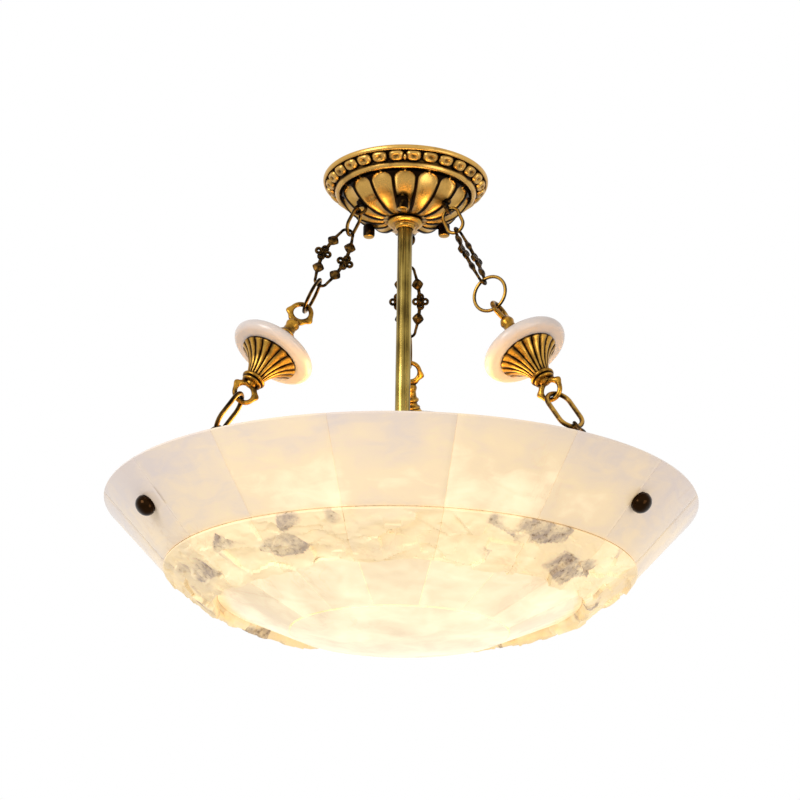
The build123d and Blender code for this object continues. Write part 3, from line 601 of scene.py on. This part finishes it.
# %% Where each chain piece hangs
# The lengths and leans of the six places on a chain, from the small ring to the lower link. The
# mean lean is the one at which the lower link reaches its bolt; the twists follow the picture.
chain_angles = (-153.0, -33.0, 87.0)
chain_lengths = (22.0, 60.0, 27.2, 105.0, 34.0, 60.0)
mean_lean = 29.6739
leans = [mean_lean + offset for offset in (-5.0, -4.0, -2.0, 1.5, 3.5, 4.0)]
link_gap = 0.3
lug_twists = (45.0, 6.0, 6.0)
link_twists = (-20.0, 90.0, 90.0)
lug_circle, lug_drop, lug_eye = 43.0, 36.5, 3.6
chain_points = [np.array([lug_circle, -lug_drop])]
for length, lean in zip((lug_eye + link_gap, *chain_lengths), (leans[0], *leans)):
    down = np.array([math.sin(math.radians(lean)), -math.cos(math.radians(lean))])
    chain_points.append(chain_points[-1] + (length - link_gap) * down)
chain_points = chain_points[1:]


def hung(part, place, chain, twist=0.0):
    """The upright part leaned and turned to its place between two joints of a chain."""
    (r0, z0), (r1, z1) = chain_points[place], chain_points[place + 1]
    middle = move_by((r0 + r1) / 2, 0, (z0 + z1) / 2)
    return moved(part, turn_about("Z", chain_angles[chain]) @ middle @ turn_about("Y", -leans[place])
                 @ turn_about("Z", twist))


def chain_piece(name, part, place, chain, twist, material, node, **more):
    """One piece of a chain hung in its place, where it replaces the measured solid."""
    n = chain + 1
    body = f"ring_{n}" if node == "round_ring" else f"chain_{n}"
    piece(f"{name}_{n}", hung(part, place, chain, twist), material, [f"{node}_{n}"], body, **more)


# %% Pierced link
def pierced_link():
    """Closed wire whose sides bow out, carrying on each side a flower of four small rings round
    a ball, and two four-sided studs."""
    end_radius, end_height, half_width = 5.3, 26.0, 9.5
    rail = arc_through((end_radius, end_height), (half_width, 0.0), (end_radius, -end_height), 60)
    a = np.linspace(0, np.pi, 20)[1:-1]
    loop = np.stack([end_radius * np.cos(a), end_height + end_radius * np.sin(a)], axis=1)
    outline = spaced(np.concatenate([loop, rail[::-1] * (-1, -1), loop * (-1, -1), rail * (1, -1)]), 1.0)
    parts = [wire(outline, 1.25 + 0.35 * np.clip((24.0 - np.abs(outline[:, 1])) / 8.0, 0, 1), 12)]
    lobe_angle = full_turn(18)
    lobe = 2.2 * np.stack([np.cos(lobe_angle), np.sin(lobe_angle)], axis=1)
    flower_at, lobe_offset = 10.2, 4.2
    for side in (-1, 1):
        for dx, dz in ((1, 0), (-1, 0), (0, 1), (0, -1)):
            centre = (side * flower_at + dx * lobe_offset, dz * lobe_offset)
            parts.append(wire(lobe + centre, 1.3, 10, depth=1.3))
        parts.append(pebble((side * flower_at, 0, 0), (2.3, 2.3, 2.3), 8, 12))
        for end in (-1, 1):
            stud = pebble((0, 0, 0), (5.2, 2.6, 5.8), 9, 12, power=1.5)
            lean = turn_about("Y", -side * end * 8.0)
            parts.append(moved(stud, move_by(side * 7.8, 0, end * 15.2) @ lean))
    return joined(parts)


link_part = pierced_link()
print("link points", len(link_part[0]))


# %% Stirrup eyes of the spacer
eye_hole = 6.35
eye_height = 46.15


def stirrup(end):
    """A ring whose outer radius grows from the bar to two pointed shoulders beside the neck; the
    neck is above the hole for the end 1 and below it for -1."""
    a = full_turn(72)
    away = np.abs(np.angle(np.exp(1j * a)))
    shoulder = np.exp(-(((away - 1.25) / 0.28) ** 2))
    neck = np.exp(-((away / 0.75) ** 4))
    outer = 10.4 + 2.6 * shoulder + 2.2 * neck
    middle, half = (outer + eye_hole) / 2, (outer - eye_hole) / 2
    b = full_turn(18)[None, :]
    radius = middle[:, None] + half[:, None] * np.cos(b)
    thick = (2.1 - 0.3 * shoulder[:, None]) * np.sin(b)
    x, z = radius * np.sin(a)[:, None], radius * np.cos(a)[:, None] * end
    return sheet(np.stack([x, thick, z], axis=-1), wrap_rows=True)


neck_line = rounded([(0, 13.3), (8.4, 13.3), (8.4, 15.2), (6.4, 16.4), (5.6, 18.6), (7.4, 20.4),
                     (7.4, 21.8), (5.4, 23.6), (4.9, 28.5), (6.0, 32.0), (4.6, 35.6), (0, 36.2)],
                    0.8, steps=4, closed=False)
rod_line = [(0, -36.5), (3.0, -36.5), (3.0, 13.6), (0, 13.6)]
upper_stirrup = moved(stirrup(-1), move_by(0, 0, eye_height))
eye_part = joined([lathe(neck_line, 48), lathe(rod_line, 24), upper_stirrup])


def ribs(profile, angle):
    """Twenty upright ribs on the collar's waist: one for each peak of |cos 10 a|."""
    waist = np.exp(-(((profile[:, 1] - 8.9) / 2.4) ** 4)) * (profile[:, 0] > 6)
    return 0.9 * waist[:, None] * np.abs(np.cos(10 * angle))[None, :] ** 0.6


rod_bore = 3.12
collar_ring = spaced(rounded([(rod_bore, 5.1), (11.0, 5.1), (11.0, 6.7), (9.6, 7.4), (9.4, 11.0),
                              (8.6, 13.1), (rod_bore, 13.1)], 0.6, steps=4), 0.5)
collar_part = lathe(collar_ring, 160, closed=True, relief=ribs)
disc_face = np.array([(rod_bore, 5.0), (12.0, 5.0), (22.0, 5.0)])
disc_edge = arc_through((31.0, 5.0), (36.0, 0.0), (31.0, -5.0), 20)
disc_line = np.concatenate([disc_face, disc_edge, disc_face[::-1] * (1, -1)])
disc_part = lathe(disc_line[::-1], 96, closed=True)
print("eye and collar ready")


# %% Fluted bell and foot
def flutes(profile, angle):
    """Eighteen flutes from the lip to the neck: rounded ribs with narrow grooves, by |cos 9 a|."""
    height = np.clip((-6.6 - profile[:, 1]) / 2.0, 0, 1) * np.clip((profile[:, 1] + 29.6) / 2.5, 0, 1)
    height = height * (profile[:, 0] > 5)
    rib = np.sqrt(np.abs(np.cos(9 * angle)))
    return 1.5 * height[:, None] * (rib - 0.75)[None, :]


bell_steps = 288
bell_lip = rounded([(20.0, -5.1), (24.5, -5.1), (24.5, -7.1), (24.3, -7.4)], 0.8, 4, closed=False)
flare = arc_through((24.3, -7.4), (12.8, -17.6), (7.2, -30.0), 40)
bell_line = np.concatenate([[(rod_bore, -5.1), (14.0, -5.1)], bell_lip, flare[1:], [(rod_bore, -30.1)]])
bell_part = lathe(bell_line[::-1], bell_steps, closed=True, relief=flutes)
bell_spin = full_turn(bell_steps)
# The grooves between the flutes are painted dark, as patina and painted shade.
groove = 0.85 * (1 - np.sqrt(np.abs(np.cos(9 * bell_spin)))) ** 0.7
bell_patina_and_shade = {"deep": np.tile(groove, len(bell_line))}
foot_line = rounded([(0, -30.2), (9.8, -30.2), (10.2, -31.4), (9.6, -32.8), (7.6, -33.2), (8.6, -34.2),
                     (8.4, -35.4), (6.6, -36.2), (4.9, -36.6), (4.2, -38.4), (0, -38.6)],
                    0.5, steps=4, closed=False)
foot_part = joined([lathe(foot_line, 64), moved(stirrup(1), move_by(0, 0, -eye_height))])
print("bell points", len(bell_part[0]))

# %% [markdown]
# ### Light from the lamps
# The glow on the stone comes from three lamps at the foot of the stem. Light falls off with the
# square of the distance, and light that has bounced round the bowl fills the rest.

# %% Glow of the lamps
# The hub's top is 7 mm under the rim, and the lamps lie 16 mm under that.
rim_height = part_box("upper_staves")[1].z / MM
hub_top = rim_height - 7.0
lamp_height = hub_top - 16.0
lamp_reach = 75.0
lamp_turns = np.radians(lamp_angles)
lamp_spots = np.stack([lamp_reach * np.cos(lamp_turns), lamp_reach * np.sin(lamp_turns),
                       np.full(len(lamp_angles), lamp_height)], axis=1)


def lamp_glow(points, scale=105.0, share=0.8):
    """Sum over the lamps of (scale / distance) squared, pressed into the range 0 to 1; near the rim
    less light reaches the stone, so the glow fades over the last 45 mm."""
    distance = np.linalg.norm(points[:, None, :] - lamp_spots[None], axis=2)
    light = ((scale / distance) ** 2).sum(axis=1)
    under_rim = np.clip((rim_height - points[:, 2]) / 45.0, 0, 1)
    return share * light / (0.6 + light) - 0.3 * (1 - under_rim) ** 1.5


# %% Hang the three chains
lug_wire = wire(ring_path(2 * lug_eye, 2 * lug_eye, 1.3, 24), 1.5, 14)
lug_shank = lathe([(0, 4.0), (2.1, 4.0), (2.1, 20.0), (0, 20.0)], 24)
boss_line = rounded([(0, 3.6), (2.4, 3.6), (3.6, 5.6), (3.6, 7.4), (0, 7.6)], 0.6, 3, closed=False)
lug_boss = lathe(boss_line, 32)
lug_ring = wire(ring_path(22.0, 12.0, 1.5), 1.5)
round_wire = wire(ring_path(27.2, 27.2, 1.45, 60), 1.45)
oval = wire(ring_path(34.0, 17.0, 2.0), 2.0)
for chain in range(3):
    seat = turn_about("Z", chain_angles[chain]) @ move_by(lug_circle, 0, -lug_drop)
    lean = turn_about("Y", -leans[0]) @ turn_about("Z", lug_twists[chain] + 90.0)
    lug = joined([moved(lug_wire, seat @ lean), moved(lug_shank, seat), moved(lug_boss, seat)])
    piece(f"chain_lug_{chain + 1}", lug, black_brass, [] if chain else ["chain_lugs"])
    twist = link_twists[chain]
    chain_piece("lug_ring_wire", lug_ring, 0, chain, lug_twists[chain], wire_brass, "lug_ring",
                values=painted_flank_reflection(lug_ring))
    chain_piece("upper_pierced_link", link_part, 1, chain, twist, black_brass, "upper_link",
                slot="dark_brass")
    chain_piece("round_ring_wire", round_wire, 2, chain, twist + 90.0, wire_brass, "round_ring",
                values=painted_flank_reflection(round_wire, depth=0.9))
    chain_piece("spacer_stirrup", eye_part, 3, chain, twist, shaded_brass, "spacer_eye")
    chain_piece("spacer_ribbed_collar", collar_part, 3, chain, 0.0, cast_brass, "spacer_collar")
    # Painted light: each stone disc glows more on its lower side, which faces the lit bowl.
    disc_height = hung(disc_part, 3, chain)[0][:, 2]
    under = (disc_height.mean() - disc_height) / 20.0
    chain_piece("spacer_stone_disc", disc_part, 3, chain, 0.0, disc_stone, "stone_disc", slot="stone",
                values={"glow": 0.25 + 0.2 * under, "slab": np.full(len(under), 0.5)})
    chain_piece("spacer_fluted_bell", bell_part, 3, chain, 0.0, cast_brass, "spacer_bell", sharp=60.0,
                values=bell_patina_and_shade)
    chain_piece("spacer_foot_stirrup", foot_part, 3, chain, 0.0, shaded_brass, "spacer_foot")
    chain_piece("oval_link_wire", oval, 4, chain, 60.0, wire_brass, "oval_link", values=painted_flank_reflection(oval))
    chain_piece("lower_pierced_link", link_part, 5, chain, -65.0, black_brass, "lower_link",
                slot="dark_brass")
print("chains 3")

# %% [markdown]
# ## Bowl
# The bowl is pieced: sixteen polished slabs form the sloping upper band, sixteen split blocks stand
# proud below them, sixteen slabs close in to a disc, and the disc is the bottom. Each slab is a
# cross-section carried round a sixteenth of the circle, so the joints are real gaps.

# %% Bowl cross-sections
wall = 12.0
slab_count = 16
bowl_corners = np.array([(245.0, 0.0), (192.0, -56.5), (148.0, -79.0), (88.0, -105.0), (0.0, -113.0)])
(rim_r, _), _, _, (disc_r, disc_z), (_, bottom_z) = bowl_corners
slope = np.arctan2(-np.diff(bowl_corners[:, 1]), -np.diff(bowl_corners[:, 0]))


def across_wall(corner, distance):
    """Point at a distance into the wall from an outer corner, on the line that halves the corner."""
    middle = (slope[corner - 1] + slope[corner]) / 2
    stretch = distance / math.cos((slope[corner - 1] - slope[corner]) / 2)
    return bowl_corners[corner] + stretch * np.array([-math.sin(middle), math.cos(middle)])


def down_wall(point, part, distance):
    """The point moved down along one of the straight parts of the wall."""
    return np.asarray(point) - distance * np.array([math.cos(slope[part]), math.sin(slope[part])])


rim_inside = np.array([rim_r - wall / math.sin(slope[0]), 0.0])
upper_section = rounded([bowl_corners[0], bowl_corners[1], across_wall(1, wall), rim_inside],
                        [2.4, 2.4, 0.9, 2.0], 6)
lower_section = rounded([bowl_corners[2], down_wall(bowl_corners[3], 2, -0.2),
                         down_wall(across_wall(3, wall), 2, -0.2), across_wall(2, wall)], 0.5, 4)
block_section = rounded([down_wall(across_wall(1, -1.4), 1, -0.3), down_wall(across_wall(2, -9.0), 1, -0.5),
                         down_wall(across_wall(2, wall), 1, -0.2), down_wall(across_wall(1, wall), 1, 0.2)],
                        [0.6, 1.6, 1.0, 1.0], 5)
print("sections", len(upper_section), len(block_section), len(lower_section))


# %% Slabs round the bowl
def slabs(section, steps, gap=0.1, inset=0.2, lift=None):
    """Sixteen solids: the section carried round 22.5 degrees each, less the joint, with the first
    and last rows drawn in a little so that each edge is eased. Lift moves points outwards."""
    width = 2 * np.pi / slab_count
    reach = section[:, 0].mean()
    t = np.concatenate([[0.0], np.linspace(0.004, 0.996, steps), [1.0]])
    drawn_in = np.concatenate([[inset], np.zeros(steps), [inset]])
    normal = outward(section)
    normal *= np.sign(((section - section.mean(axis=0)) * normal).sum())
    slab = np.arange(slab_count)
    squeeze = (1 - 2 * t) * gap / reach / 2
    angle = (math.radians(-91.0) + (slab[:, None] + t - 0.5) * width + squeeze)[:, :, None]
    line = section - drawn_in[:, None, None] * normal
    height = 0 * angle if lift is None else lift(angle, line[..., 0], line[..., 1], normal)
    r = line[..., 0] + height * normal[:, 0]
    z = line[..., 1] + height * normal[:, 1]
    points = np.stack([r * np.cos(angle), r * np.sin(angle), z + rim_height], axis=-1)
    rows, columns = points.shape[1:3]
    corners = list(range(rows * columns))
    ends = [corners[:columns][::-1], corners[-columns:]]
    parts = []
    for one in points:
        skin_points, skin_faces = sheet(one)
        parts.append((skin_points, skin_faces + ends))
    return joined(parts), np.repeat(slab, rows * columns)


# Tone of each slab, from the front one round to the right: 0 is cloudy and cool, 1 is clear.
upper_tone = np.array([0.5, 0.95, 0.55, 0.2, 0.3, 0.6, 0.4, 0.7, 0.5, 0.3, 0.6, 0.4, 0.2, 0.15, 0.3, 0.85])
lower_tone = np.array([0.45, 0.75, 0.6, 0.9, 0.5, 0.7, 0.4, 0.6, 0.8, 0.5, 0.4, 0.7, 0.55, 0.4, 0.8, 0.6])
for name, section, steps, stone, tone in (("upper", upper_section, 22, upper_stone, upper_tone),
                                          ("lower", lower_section, 14, lower_stone, lower_tone)):
    band, number = slabs(spaced(section, 3.0), steps)
    piece(f"bowl_{name}_slabs", band, stone, [f"{name}_staves"], "bowl", "stone", sharp=35.0,
          values={"glow": lamp_glow(band[0]), "slab": tone[number]})
    print(name, "slabs", len(band[1]))

# %% [markdown]
# ### Split face of the blocks
# A split face is made of flat chips with sharp steps between them. Seeds are scattered over the
# band; each point belongs to its nearest seed, and each seed has a height and a tilt of its own.
# A smooth noise of two sizes is added for the roughness within a chip.


# %% Noise and chips
def lattice_noise(points, size, seed):
    """Random numbers on a cubic lattice, blended smoothly between its corners: -1 to 1."""
    period = 32
    table = np.random.default_rng(seed).random((period, period, period)) * 2 - 1
    q = points / size
    cell = np.floor(q).astype(int)
    f = q - cell
    f = f * f * (3 - 2 * f)
    total = np.zeros(points.shape[:-1])
    for step in np.ndindex(2, 2, 2):
        corner = (cell + step) % period
        weight = np.abs(1 - np.array(step) - f).prod(axis=-1)
        total += weight * table[corner[..., 0], corner[..., 1], corner[..., 2]]
    return total


def chips(u, v, size_u, size_v, seed):
    """Height of chipped facets: the nearest seed's own height plus its tilt times the distance."""
    period = 64
    move_u, move_v, own, tilt_u, tilt_v = np.random.default_rng(seed).random((5, period, period))
    cell_u, cell_v = np.floor(u / size_u).astype(int), np.floor(v / size_v).astype(int)
    best = np.full(u.shape, 1e9)
    height = np.zeros(u.shape)
    for du in (-1, 0, 1):
        for dv in (-1, 0, 1):
            at = (cell_u + du) % period, (cell_v + dv) % period
            seed_u = (cell_u + du + move_u[at]) * size_u
            seed_v = (cell_v + dv + move_v[at]) * size_v
            gap_u, gap_v = (u - seed_u) / size_u, (v - seed_v) / size_v
            distance = gap_u**2 + gap_v**2
            tilt = (tilt_u[at] - 0.5) * gap_u + (tilt_v[at] - 0.5) * gap_v
            here = own[at] * 2 - 1 + 1.6 * tilt
            height = np.where(distance < best, here, height)
            best = np.minimum(best, distance)
    return height


# %% Split blocks
# The band is seen in three directions: round the bowl at its middle radius, up the slope, and out.
band_radius = 170.0
slope_up = np.array([math.cos(slope[1]), math.sin(slope[1])])
slope_out = np.array([math.sin(slope[1]), -math.cos(slope[1])])
smooth_v = bowl_corners[1] @ slope_up


def split_face(angle, r, z, normal):
    """Chips of 30 by 17 mm and 11 by 7 mm, plus noise; only the outer face and the lower ledge
    move, and less and less towards the smooth band above."""
    outer = np.clip((normal @ slope_out - 0.2) / 0.5, 0, 1)
    u = angle * band_radius + 0 * r
    v = r * slope_up[0] + z * slope_up[1]
    place = np.stack([r * np.cos(angle), r * np.sin(angle), z + 0 * angle], axis=-1)
    height = 2.1 * chips(u, v, 30.0, 17.0, 5) + 0.6 * chips(u, v, 11.0, 7.0, 9)
    height += 1.8 * lattice_noise(place, 21.0, 3) + 0.35 * lattice_noise(place, 5.0, 4)
    top = np.clip((smooth_v - v) / 9.0, 0.12, 1.0)
    return outer[None, None, :] * top * np.clip(height, -5.0, 3.5)


block_line = spaced(block_section, 1.25)
blocks, block_number = slabs(block_line, 56, gap=0.06, inset=0.3, lift=split_face)
block_points = blocks[0]
block_r = np.hypot(block_points[:, 0], block_points[:, 1])
block_a = np.arctan2(block_points[:, 1], block_points[:, 0])
around = np.stack([np.cos(block_a), np.sin(block_a)], axis=1)
# The lower edge is ragged: its outer side is drawn down or up the slope by up to 6 mm.
off_edge = np.stack([block_r, block_points[:, 2] - rim_height], axis=1) - across_wall(2, -3.0)
near_edge = np.clip(off_edge @ slope_out / 3.0, 0, 1) * np.clip(1 - off_edge @ slope_up / 16.0, 0, 1)
at_band = np.column_stack([band_radius * around, 9.0 * (block_number % 3)])
slide = near_edge * (3.6 * lattice_noise(at_band, 26.0, 12) + 2.0 * lattice_noise(at_band, 9.0, 13))
block_points[:, :2] -= (slide * slope_up[0])[:, None] * around
block_points[:, 2] -= slide * slope_up[1]
block_v = block_r * slope_up[0] + (block_points[:, 2] - rim_height) * slope_up[1]
# Patches of painted shade: where another field of chips stands high, the block is marked as a shaded
# hollow.
depth = chips(block_a * band_radius + 40.0, block_v, 34.0, 22.0, 23)
depth += 0.4 * lattice_noise(block_points, 12.0, 6)
hollow = np.clip((depth - 0.62) / 0.3, 0, 1)
piece("bowl_split_blocks", blocks, rough_stone, ["rough_blocks"], "bowl", "rough_stone", sharp=28.0,
      values={"glow": lamp_glow(block_points) * 0.95, "slab": lower_tone[block_number],
              "hollow": hollow})
print("block faces", len(blocks[1]))

# %% Bottom disc of the bowl
# Its underside is part of a sphere through the last corner of the wall and the lowest point.
dish = disc_z - bottom_z
sphere = (disc_r**2 + dish**2) / (2 * dish)
tip = np.linspace(0, math.asin((disc_r + 0.5) / sphere), 24)
under_line = np.stack([sphere * np.sin(tip), bottom_z + sphere * (1 - np.cos(tip))], axis=1)
inner_edge = across_wall(3, wall)
floor_z = bottom_z + wall
bottom_line = np.concatenate([under_line, [inner_edge, (inner_edge[0] * 0.5, floor_z), (0.0, floor_z)]])
bottom_points, bottom_faces = lathe(bottom_line + (0, rim_height), 128)
piece("bowl_bottom_disc", (bottom_points, bottom_faces), lower_stone, ["bottom_disc"], "bowl", "stone",
      values={"glow": lamp_glow(bottom_points), "slab": np.full(len(bottom_points), 0.7)})
print("bottom disc", len(bottom_faces))

# %% Bolts through the wall
# Each bolt stands square to the upper band, at 27.5 mm below the rim.
bolt_drop = 27.5
bolt_r = rim_r - bolt_drop / math.tan(slope[0])
bolt_tilt = -math.degrees(math.atan2(math.cos(slope[0]), -math.sin(slope[0])))
nut_line = rounded([(2.6, 0), (8.7, 0), (8.8, -1.2), (8.2, -4.2), (5.6, -7.0), (2.4, -7.9), (0, -8.0),
                    (0, -5.8), (2.6, -5.8)], [0.2, 0.4, 0.6, 2.0, 1.8, 1.0, 0, 0, 0.2], 5)
nut_seat = (move_by(bolt_r, 0, rim_height - bolt_drop) @ turn_about("Y", bolt_tilt)
            @ move_by(-2.05, 0, 0) @ turn_about("Y", 90.0))
for n, angle in enumerate(chain_angles, 1):
    nut = moved(lathe(nut_line, 64, closed=True), turn_about("Z", angle) @ nut_seat)
    piece(f"acorn_nut_bronze_{n}", nut, bronze, [f"acorn_nut_{n}"], f"nut_{n}", "dark_bronze")
refinish(wire_brass, "eye_bolts")
refinish(bronze, "inner_washers", "outer_washers")
print("acorn nuts 3")

# %% [markdown]
# ## Lamps
# A turned hub closes the stem and holds three horizontal lampholders: a brass cup round a porcelain
# core, with a frosted globe screwed in. They are hidden from the picture's side but light the bowl.

# %% Hub, holders and globes
# The holders and globes are drawn upright and then laid down.
hub_line = rounded([(0, hub_top - 24), (12.6, hub_top - 24), (15.9, hub_top - 21), (15.9, hub_top - 5.4),
                    (9.0, hub_top - 0.2), (6.5, hub_top)], 1.0, 4, closed=False)
hub_line = np.concatenate([hub_line, [(6.5, hub_top - 11.8), (0, hub_top - 11.8)]])
piece("lamp_hub_turned", lathe(hub_line, 72), cast_brass, ["lamp_hub"])
tip_top = hub_top - 24.1
finial_line = rounded([(0, tip_top), (5.6, tip_top), (7.0, tip_top - 2.8), (3.5, tip_top - 6.3),
                       (4.6, tip_top - 9.1), (2.4, tip_top - 13.0), (0, tip_top - 14)],
                      0.9, 4, closed=False)
piece("hub_finial_turned", lathe(finial_line, 48), cast_brass, ["hub_finial"])
cup_line = rounded([(0, 16.1), (5.0, 16.1), (5.0, 20.0), (13.0, 25.0), (13.0, 52.0), (11.6, 52.0),
                    (11.6, 27.8), (0, 27.8)], 0.7, 4, closed=False)
globe_cap = [(0, 36.0), (4.2, 36.0), (7.0, 38.5), (7.0, 53.0)]
globe = arc_through((16.07, 66.0), (22.5, 81.75), (0.0, 104.25), 40)
globe_line = np.concatenate([globe_cap, globe])
cups = []
for n, angle in enumerate(lamp_angles, 1):
    lying = turn_about("Z", angle) @ move_by(0, 0, lamp_height) @ turn_about("Y", 90.0)
    cups.append(moved(lathe(cup_line, 64), lying))
    globe_part = moved(lathe(globe_line, 64), lying)
    piece(f"lamp_globe_{n}", globe_part, lamp_glass, [f"bulb_{n}"], f"lamp_{n}", "bulb_glass")
piece("lampholder_cups_spun", joined(cups), cast_brass, ["lampholder_cups"])
refinish(porcelain, "lampholder_cores")
print("lamps 3")

# %% [markdown]
# ## Room and light
# A pale floor lies far below. Camera, mirror and clear rays see a plain white room, while the light
# on the object stays at a plain level: a soft world, two large soft lamps in front and a small warm
# one for the glow that leaves the top of the bowl.

# %% Floor and world
def looked_at(tree):
    """1 for what is seen straight, in a mirror or through something clear, else 0."""
    path = add(tree, "LightPath").node.outputs
    bent = add(tree, "Math", path["Is Glossy Ray"], path["Is Transmission Ray"], operation="MAXIMUM")
    return add(tree, "Math", path["Is Camera Ray"], bent, operation="MAXIMUM")


floor_material, tree, shader, place = finish("pale_floor", Roughness=0.9, Base_Color=linear("#F4F4F4"),
                                             Emission_Color=(1, 1, 1, 1))
drive(shader, Emission_Strength=add(tree, "Math", looked_at(tree), 0.3, operation="MULTIPLY"))
floor_mesh = bpy.data.meshes.new("floor")
half, depth = 6, -2.3
floor_corners = [(-half, -half, depth), (half, -half, depth), (half, half, depth), (-half, half, depth)]
floor_mesh.from_pydata(floor_corners, [], [(0, 1, 2, 3)])
floor_mesh.materials.append(floor_material)
floor = in_scene("floor", floor_mesh)

world = bpy.data.worlds.new("room")
bpy.context.scene.world = world
world.use_nodes = True
tree = world.node_tree
drive(tree.nodes["Background"], Color=(1, 1, 1, 1),
      Strength=add(tree, "MapRange", looked_at(tree), 0.0, 1.0, 0.5, 1.0))
print("room ready")


# %% Lamps of the studio
def soft_lamp(name, place, target, size, power, colour):
    """A square lamp that faces its target."""
    data = bpy.data.lights.new(name, "AREA")
    data.size = size
    data.energy = power
    data.color = linear(colour)[:3]
    away = np.subtract(place, target)
    away /= np.linalg.norm(away)
    side = np.cross((0, 0, 1.0), away)
    side /= np.linalg.norm(side)
    in_scene(name, data).matrix_world = facing(side, np.cross(away, side), away, place)


middle = (0, 0, -0.25)
soft_lamp("key_front_left", (-1.3, -1.5, 0.1), middle, 0.9, 19.0, "#FFFFFF")
soft_lamp("fill_front_right", (1.5, -1.2, -0.9), middle, 1.0, 10.0, "#FFF8F0")
warm = bpy.data.lights.new("bowl_glow", "POINT")
warm.energy = 1.2
warm.shadow_soft_size = 0.06
warm.color = linear("#FFD79A")[:3]
in_scene("bowl_glow", warm).location = (0, 0, -0.27)
bpy.context.scene.view_settings.view_transform = "Standard"
print("lamps ready")
